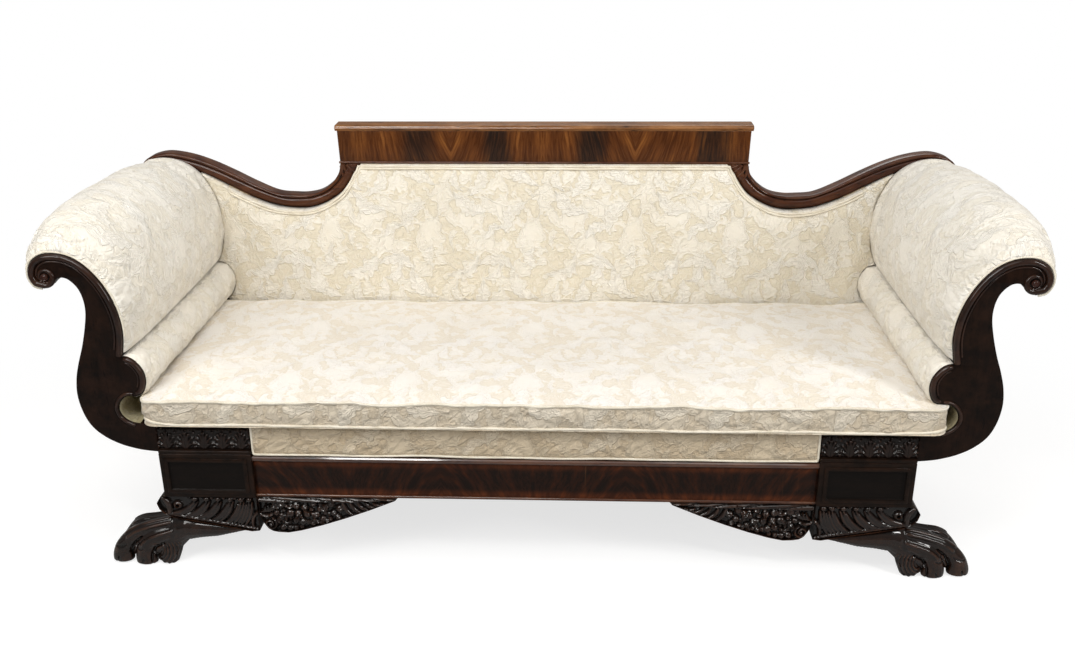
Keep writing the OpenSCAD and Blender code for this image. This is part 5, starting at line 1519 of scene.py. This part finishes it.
for side, seed in (("right", 11), ("left", 23)):
    rng = np.random.default_rng(seed)
    gathers = [(at + rng.uniform(-0.008, 0.008), rng.uniform(-0.5, 0.5), rng.uniform(0.022, 0.085),
        rng.uniform(0.0014, 0.0036), rng.uniform(0.0035, 0.0065)) for at in np.arange(0.05, 0.6, 0.0175)]
    gathers += [(at, rng.uniform(-0.35, 0.35), rng.uniform(0.1, 0.17), 0.003, 0.007)
        for at in rng.uniform(0.12, 0.45, 5)]
    pad = stuffed_piece("arm_damask_right", pad_path, pad_swell, pad_run, 0.022, gathers, 0.0011, seed, 3.0, 0.006,
        285, 165, 0.012)
    low_gathers = [(at, rng.uniform(-0.2, 0.2), rng.uniform(0.015, 0.04), 0.0012, 0.004)
        for at in np.arange(0.03, 0.22, 0.022)]
    roll_piece = stuffed_piece("roll_damask_right", roll_path, roll_swell, roll_run, 0.018, low_gathers, 0.0008,
        seed + 5, 2.0, 0.003, 75, 150, 0.008)
    wave = ripple(np.linspace(0, 1, len(edge)), 0, 0.08, seed)
    cord_path = offset_line(edge, 0.0028 + 0.0004 * wave)[2:-6]
    cord_piece = rod("arm_cord_sewn_right", standing(cord_path, FACE_Y + 0.0025), 0.0025 + 0.0002 * wave[2:-6], 3)
    for piece, name in ((pad, "arm_damask"), (roll_piece, "roll_damask"), (cord_piece, "arm_cord_sewn")):
        piece.name = f"{name}_{side}"
        if side == "left":
            flip(piece)
    dress(pad, arm_cloth, "damask", "frame", "arm_pad_" + side)
    dress(roll_piece, roll_cloth, "damask", "frame", "arm_roll_" + side)
    dress(cord_piece, cord_cloth, "cord", "frame", "arm_cord_" + side)

# Cloth over the outside of each arm, from the seat rail up into the hollow of the scroll,
# and the strip of cloth in the notch above the frieze
outside_cloth = damask_cloth("damask_outside", (0.74, 0.68, 0.56), (0.82, 0.77, 0.67), (0.78, 0.72, 0.61), 0.9)
# The notch lining is the same damask, coloured dark olive as painted shade inside the notch
notch_lining = damask_cloth("damask_in_notch_painted_shade", (0.4, 0.345, 0.185), (0.52, 0.465, 0.3), (0.46, 0.4, 0.24), 1.2)
for side in ("right", "left"):
    for title, line, moved_out, from_y in (("hollow", under[6:], -0.002, BOARD_BACK + 0.0005),
            ("notch", notch[3:-6], 0.0012, FACE_Y + 0.0015)):
        path = offset_line(line, moved_out)
        steps = run_along(path)
        at = np.linspace(0, steps[-1], max(int(steps[-1] / 0.005), 12))
        x, z = np.interp(at, steps, path[:, 0]), np.interp(at, steps, path[:, 1])
        y = np.linspace(from_y, 0.332, 130)
        v, u = np.meshgrid(y, at, indexing="ij")
        out = offset_line(np.stack([x, z], 1), 1) - np.stack([x, z], 1)
        off_ends = np.clip((v - y[0]) / 0.03, 0, 1) * np.clip((y[-1] - v) / 0.03, 0, 1)
        wobble = 0.0007 * ripple(u, v, 0.07, 31 if side == "left" else 37) * off_ends
        places = np.stack([x[None, :] + out[:, 0][None, :] * wobble, v, z[None, :] + out[:, 1][None, :] * wobble], -1)
        if side == "left":
            places[..., 0] *= -1
        cover = cloth_grid(f"{title}_cloth_{side}", places, np.stack([v, u], -1))
        dress(cover, outside_cloth if title == "hollow" else notch_lining, "damask", "frame", "outside_arm_" + side)

# ---------------------------------------------------------------- Back
# The stuffed back is thick at the seat and thins out under the crest. A double cord of the
# same cloth is glued over the tacks along the rails and the crest. The rear is covered too.
DECK_TOP, BACK_RUN, BACK_FRAME_Y, CREST_Z = 0.38, 0.436, 0.3325, 0.806
BACK_REACH = 0.853 + 0.228


def back_face(x, z):
    """Depth of the stuffed face."""
    v = np.clip((z - 0.37) / BACK_RUN, 0, 1)
    full = 0.012 * np.maximum(np.cos(math.pi / 2 * x / BACK_REACH), 0) * np.sin(math.pi * v)
    return BACK_FRAME_Y - (0.068 + (0.011 - 0.068) * v**0.8) - full


def under_rail(x):
    """Height of the lower edge of the crest and of the rails."""
    return np.interp(np.abs(x), np.concatenate([[0, rail_low[0, 0] - 0.0001], rail_low[:, 0]]),
        np.concatenate([[CREST_Z, CREST_Z], rail_low[:, 1]]))


beside_roll = offset_line(roll_path, np.maximum(roll_swell * 1.06, 0.002) + 0.0006)[::-1]
share_there = np.interp((back_face(0.85, pad_path[:, 1]) - FACE_Y) / ARM_DEPTH, *pad_run.T)
beside_pad = offset_line(pad_path, pad_swell * share_there + 0.0006)[::-1]
beside = np.vstack([[0.868, 0.436], beside_roll[3:], beside_pad[beside_pad[:, 1] > beside_roll[-1, 1] + 0.002]])
beside = beside[np.concatenate([[True], np.diff(np.maximum.accumulate(beside[:, 1])) > 0])]
meets = np.argmax(beside[:, 1] > under_rail(beside[:, 0]) - 0.001)
CORNER_X = float(beside[meets, 0])


def back_grid(rows, cols, inset):
    """Points over the back between the two arms, the deck and the rails."""
    v, u = shares_over(ONE, BOTH, rows, cols)
    z = DECK_TOP + v * (under_rail(u * CORNER_X) - 0.001 - DECK_TOP)
    width = np.interp(z, beside[:, 1], beside[:, 0]) - inset
    x = u * CORNER_X + np.sign(u) * np.abs(u) ** (9 + 70 * v**8) * (width - CORNER_X)
    return u, v, x, z


def back_points(rows, cols):
    u, v, x, z = back_grid(rows, cols, 0.0)
    width = np.interp(z, beside[:, 1], beside[:, 0])
    side_gap, top_gap = width - np.abs(x), under_rail(x) - 0.001 - z
    thick = BACK_FRAME_Y - back_face(x, z)
    roll_in = lambda gap, r: 1 - np.sqrt(np.clip(1 - (1 - np.clip(gap / r, 0, 1)) ** 2, 0, 1))
    sunk = np.maximum(roll_in(side_gap, 0.012) * np.minimum(thick * 0.8, 0.01), roll_in(top_gap, 0.006) * 0.003)
    return u, v, x, z, back_face(x, z) + sunk


back_cloth = damask_cloth("damask_on_back", (0.755, 0.685, 0.545), (0.865, 0.825, 0.745), (0.815, 0.765, 0.665), 1.2)
rows, cols = 126, 471
u, v, x, z, y = back_points(rows // 3, cols // 3)
coarse = np.stack([x, y, z], -1)
moves = settle(coarse, (v == 0) | (v == 1) | (np.abs(u) == 1), np.array([0, -1, 0]), 2.5, 0.006, 0.006)
u, v, x, z, y = back_points(rows, cols)
edges = np.clip((1 - np.abs(u)) * 20, 0, 1) * np.clip((1 - v) * 14, 0, 1)
y = y - edges * (0.0011 * ripple(x, z, 0.08, 41) + 0.0004 * ripple(x, z, 0.025, 42))
front = np.stack([x, y, z], -1) + spread(moves, rows, cols)
behind_rows = 10
_, vr, xr, zr = back_grid(behind_rows, cols, 0.0)
rear = np.stack([xr, 0.329 + 0.0082 * vr**12, zr + 0.0006 * vr**12], -1)[::-1]
ring = np.concatenate([front, rear], 0).transpose(1, 0, 2)
flat = np.stack([ring[..., 0], ring[..., 2]], -1)
back = cloth_grid("back_damask", ring, flat, wrap=True)
dress(back, back_cloth, "damask", "frame", "back_pad")

# Double cord: two cords side by side, laid along the rails and straight under the crest
right_low = rail_low[4:-30]
right_low = right_low[right_low[:, 0] < 0.955]
for k, gap_below in enumerate((0.004, 0.01)):
    half_line = offset_line(right_low, gap_below)
    flat_line = np.array([[x, CREST_Z - gap_below]
        for x in np.linspace(-half_line[0, 0] + 0.004, half_line[0, 0] - 0.004, 150)])
    line = np.vstack([half_line[::-1] * [-1, 1], flat_line, half_line])
    line = line + 0.0005 * np.stack([np.zeros(len(line)), ripple(line[:, 0], line[:, 1], 0.05, 51 + k)], 1)
    depth = back_face(line[:, 0], line[:, 1]) - 0.0012
    double = rod(f"back_cord_{k}", [(p[0], d, p[1]) for p, d in zip(line, depth)], 0.0031, 3)
    dress(double, cord_cloth, "cord", "frame", "back_gimp")

# Outside back, tacked to the rear of the frame; it widens at the top to meet the arm posts
v, u = shares_over(ONE, BOTH, 60, 200)
REAR_HALF, REAR_LOW, REAR_Y = 0.852, 0.2545, 0.3705
x = u * REAR_HALF
z = REAR_LOW + v * (under_rail(x) - 0.002 - REAR_LOW)
x = x + u * np.interp(z, [0.5, 0.59, 0.66, 0.71, 0.752], [0, 0.021, 0.031, 0.044, 0.06])
z = REAR_LOW + v * (under_rail(x) - 0.002 - REAR_LOW)
sag = np.clip((1 - np.abs(u)) * 8, 0, 1) * np.clip((1 - v) * 8, 0, 1) * np.clip(v * 8, 0, 1)
y = REAR_Y - 0.0018 * sag * (0.7 + 0.3 * ripple(x, z, 0.15, 61))
rear_cover = cloth_grid("outside_back_cloth", np.stack([x, y, z], -1), np.stack([x, z], -1))
dress(rear_cover, outside_cloth, "damask", "frame", "outside_back")

# ---------------------------------------------------------------- Front panel
# A strip of stuffed damask between the frieze blocks, with a cord sewn round three sides.
# The same damask, coloured darker and browner as painted shade under the overhanging cushion
panel_cloth = damask_cloth("damask_on_front", (0.54, 0.435, 0.3), (0.71, 0.61, 0.465), (0.6, 0.5, 0.36), 1.5, 0.24,
    9.0)
v, u = shares_over(ONE, BOTH, 26, 380)
PANEL_HALF, PANEL_LOW, PANEL_HIGH = 0.6385, 0.2985, 0.374
x = u * PANEL_HALF
z = PANEL_LOW + v * (PANEL_HIGH - PANEL_LOW)
wave = 0.0013 * ripple(x, 0, 0.1, 71)
rim_gap = np.minimum(np.minimum(PANEL_HALF - np.abs(x), z - PANEL_LOW), PANEL_HIGH - z)
proud = 0.0095 * np.sqrt(np.clip(1 - (1 - np.clip(rim_gap / 0.014, 0, 1)) ** 2, 0, 1))
creases = np.abs(ripple(x + 0.7 * z, z, 0.04, 72)) + 0.5 * np.abs(ripple(x - 0.5 * z, z, 0.022, 73))
y = -0.354 - proud - 0.0032 * (creases - 0.8) * np.clip(rim_gap / 0.01, 0, 1)
face = np.stack([x, y, z - wave * (1 - v)], -1)
rear = np.stack([x[::-1], np.full(x.shape, -0.353), z[::-1] - wave * v], -1)[::3]
panel = cloth_grid("front_panel_damask", np.concatenate([face, rear], 0).transpose(1, 0, 2),
    np.stack([np.concatenate([x, x[::-1][::3]], 0).T, np.concatenate([z, z[::-1][::3]], 0).T], -1), wrap=True)
dress(panel, panel_cloth, "damask", "frame", "front_panel")
low_line = [(x, -0.3622, 0.3008 - 0.0013 * float(ripple(np.array(x), 0, 0.1, 71)))
    for x in np.linspace(0.633, -0.633, 240)]
side_line = [(0.636, -0.3612, z) for z in np.linspace(0.3725, 0.3035, 12)]
panel_cord = rod("front_panel_cord_sewn", side_line + low_line + [(-x, y, z) for x, y, z in side_line[::-1]], 0.0027,
    3)
dress(panel_cord, cord_cloth, "cord", "frame", "front_panel_cord")

# ---------------------------------------------------------------- Seat cushion
# A loose boxed cushion, fuller in the middle, with a cord round its upper and its lower edge.
# It lies on the deck and is tucked under the arm rolls.
CUSHION_X, CUSHION_Y, CUSHION_MID_Y, CORNER = 0.8925, 0.321, -0.064, 0.018
CUSHION_SHIFT = 0.015
Z_LOW, Z_HIGH = 0.38, 0.443
cushion_cloth = damask_cloth("damask_on_seat", (0.82, 0.75, 0.64), (0.925, 0.89, 0.845), (0.885, 0.845, 0.785), 0.8)
# The boxing is the same damask as the top, coloured darker as painted shade on its faces
boxing_cloth = damask_cloth("damask_boxing_painted_shade", (0.6, 0.51, 0.385), (0.76, 0.69, 0.575), (0.65, 0.57, 0.45), 1.5, 0.24,
    9.0)


def rounded(x, y, corner):
    """Pulls the corners of a rectangle of points in to an arc, wider at the front."""
    corner = np.where(y < 0, 1.8 * corner, corner)
    inner_x, inner_y = CUSHION_X - corner, CUSHION_Y - corner
    a, b = np.clip(np.abs(x) - inner_x, 0, None) / corner, np.clip(np.abs(y) - inner_y, 0, None) / corner
    big, length = np.maximum(a, b), np.maximum(np.hypot(a, b), 1e-9)
    pull = np.where((a > 0) & (b > 0), big / length, 1.0)
    return (np.sign(x) * np.where(a > 0, inner_x + a * pull * corner, np.abs(x)),
            np.sign(y) * np.where(b > 0, inner_y + b * pull * corner, np.abs(y)))


def rim_wave(x, y, level):
    """How a sewn edge wanders: down and in or out along the cushion."""
    down = 0.0026 * ripple(x, y, 0.1, 81 + level) + 0.001 * ripple(x, y, 0.03, 87 + level)
    return down, 0.0018 * ripple(x, y, 0.09, 83 + level)


def cushion_top(rows, cols):
    """The crowned upper cover, pulled in a little between its corners."""
    v, u = shares_over(BOTH, BOTH, rows, cols)
    x, y = rounded(u * CUSHION_X, v * CUSHION_Y, CORNER)
    gap = np.minimum(CUSHION_X - np.abs(x), CUSHION_Y - np.abs(y))
    crown = 0.014 * (1 - (1 - np.clip(gap / 0.2, 0, 1)) ** 2.2)
    rise, _ = rim_wave(x, y, 0)
    fade = np.clip(gap / 0.05, 0, 1)
    lumps = 0.0022 * ripple(x, y, 0.13, 91) + 0.0007 * ripple(x, y, 0.04, 92)
    z = Z_HIGH - 0.002 + crown + rise * (1 - fade) + fade * lumps
    return u, v, x, y, z


rows, cols = 108, 298
u, v, x, y, z = cushion_top(rows // 2, cols // 2)
coarse = np.stack([x, y + CUSHION_MID_Y, z], -1)
moves = settle(coarse, (np.abs(u) == 1) | (np.abs(v) == 1), np.array([0, 0, 1]), 2.0, 0.006, 0.006)
u, v, x, y, z = cushion_top(rows, cols)
top = np.stack([x, y + CUSHION_MID_Y, z], -1) + spread(moves, rows, cols)
loop = [(0, j) for j in range(cols)] + [(i, cols - 1) for i in range(1, rows)]
loop += [(rows - 1, j) for j in range(cols - 2, -1, -1)] + [(i, 0) for i in range(rows - 2, 0, -1)]
li, lj = np.array(loop).T
edge_x, edge_y = x[li, lj], y[li, lj]
ahead = np.stack([np.roll(edge_x, -1) - np.roll(edge_x, 1), np.roll(edge_y, -1) - np.roll(edge_y, 1)], 1)
ahead /= np.linalg.norm(ahead, axis=1)[:, None]
edge_out = np.stack([ahead[:, 1], -ahead[:, 0]], 1)
run = np.concatenate([[0], np.cumsum(np.hypot(np.diff(edge_x), np.diff(edge_y)))])
box_rows = 12
high_rise, high_out = rim_wave(edge_x, edge_y, 0)
low_rise, low_out = rim_wave(edge_x, edge_y, 4)
front_corner = np.hypot(np.abs(edge_x) - CUSHION_X, edge_y + CUSHION_Y)
low_rise = np.maximum(low_rise, -0.0005) * 0.8 + 0.006 * np.exp(-((front_corner / 0.045) ** 2))
share = np.linspace(1, 0, box_rows)[:, None]
draw = 0.003 - 0.0022 * np.sin(math.pi * share)
outwards = share * high_out + (1 - share) * low_out - draw
slanted = run[None, :] + 0.03 * share
creases = np.abs(ripple(slanted, share * 0.045, 0.03, 95))
creases = creases + 0.6 * np.abs(ripple(run[None, :] - 0.02 * share, share * 0.06, 0.018, 96))
fold = 0.0042 * (creases - 0.75) * np.sin(math.pi * share) ** 0.5
outwards = outwards + fold
box_z = Z_LOW + 0.0015 + low_rise * (1 - share) + share * (Z_HIGH - Z_LOW - 0.0035 + high_rise)
boxing = np.stack([edge_x + edge_out[:, 0] * outwards, edge_y + CUSHION_MID_Y + edge_out[:, 1] * outwards, box_z], -1)
boxing[0] = top[li, lj]
bottom = np.stack([x, y + CUSHION_MID_Y, np.full(x.shape, Z_LOW + 0.0003)], -1)
n = len(loop)
index = np.arange(rows * cols).reshape(rows, cols)
quads = lambda grid: np.stack([grid[:-1, :-1], grid[:-1, 1:], grid[1:, 1:], grid[1:, :-1]], -1).reshape(-1, 4)
base = rows * cols
levels = np.vstack([index[li, lj][None, :], base + np.arange((box_rows - 1) * n).reshape(box_rows - 1, n),
    base + (box_rows - 1) * n + index[li, lj][None, :]])
upper_level, lower_level = levels[:-1], levels[1:]
walls = np.stack([upper_level, np.roll(upper_level, -1, 1), np.roll(lower_level, -1, 1), lower_level],
    -1).reshape(-1, 4)
faces = np.vstack([quads(index), walls, quads(index + base + (box_rows - 1) * n)])
all_places = np.vstack([top.reshape(-1, 3), boxing[1:].reshape(-1, 3), bottom.reshape(-1, 3)])
mesh = skin("seat_cushion_damask", all_places, faces.tolist())
uv = all_places[loop_points(mesh), :2]
wall_loops = slice(4 * len(quads(index)), 4 * (len(quads(index)) + len(walls)))
next_run = np.append(run[1:], run[-1] + 0.006)
wall_u = np.tile(np.stack([run, next_run, next_run, run], 1), (box_rows, 1, 1)).reshape(-1)
level = np.arange(box_rows)
wall_v = np.repeat(np.stack([level, level, level + 1, level + 1], 1)[:, None, :], n, axis=1).reshape(-1) * -0.0047
uv[wall_loops] = np.stack([wall_u, wall_v + 0.09], 1)
lay_out(mesh, uv)
mesh.materials.append(cushion_cloth)
mesh.materials.append(boxing_cloth)
slots = np.zeros(len(faces), np.int32)
slots[len(quads(index)):len(quads(index)) + len(walls)] = 1
mesh.polygons.foreach_set("material_index", slots)
cushion = put_in("seat_cushion_damask", mesh)
turn_outwards(cushion)
shade(cushion, 50)
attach(cushion, "cushion")
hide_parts("seat_cushion")
places = points_of(cushion)
places[:, 0] += CUSHION_SHIFT
set_points(cushion, places)
for name, at, rise, out in (("upper", Z_HIGH - 0.0034, high_rise, high_out),
        ("lower", Z_LOW + 0.0036, low_rise, low_out)):
    line = [(ex + CUSHION_SHIFT + eo[0] * (o - 0.003), ey + CUSHION_MID_Y + eo[1] * (o - 0.003), at + r)
            for ex, ey, eo, o, r in zip(edge_x, edge_y, edge_out, out, rise)]
    line.append(line[0])
    welt = rod(f"cushion_cord_{name}", line, 0.0034, 3)
    dress(welt, cord_cloth, "cord", "cushion", "cushion_cords")
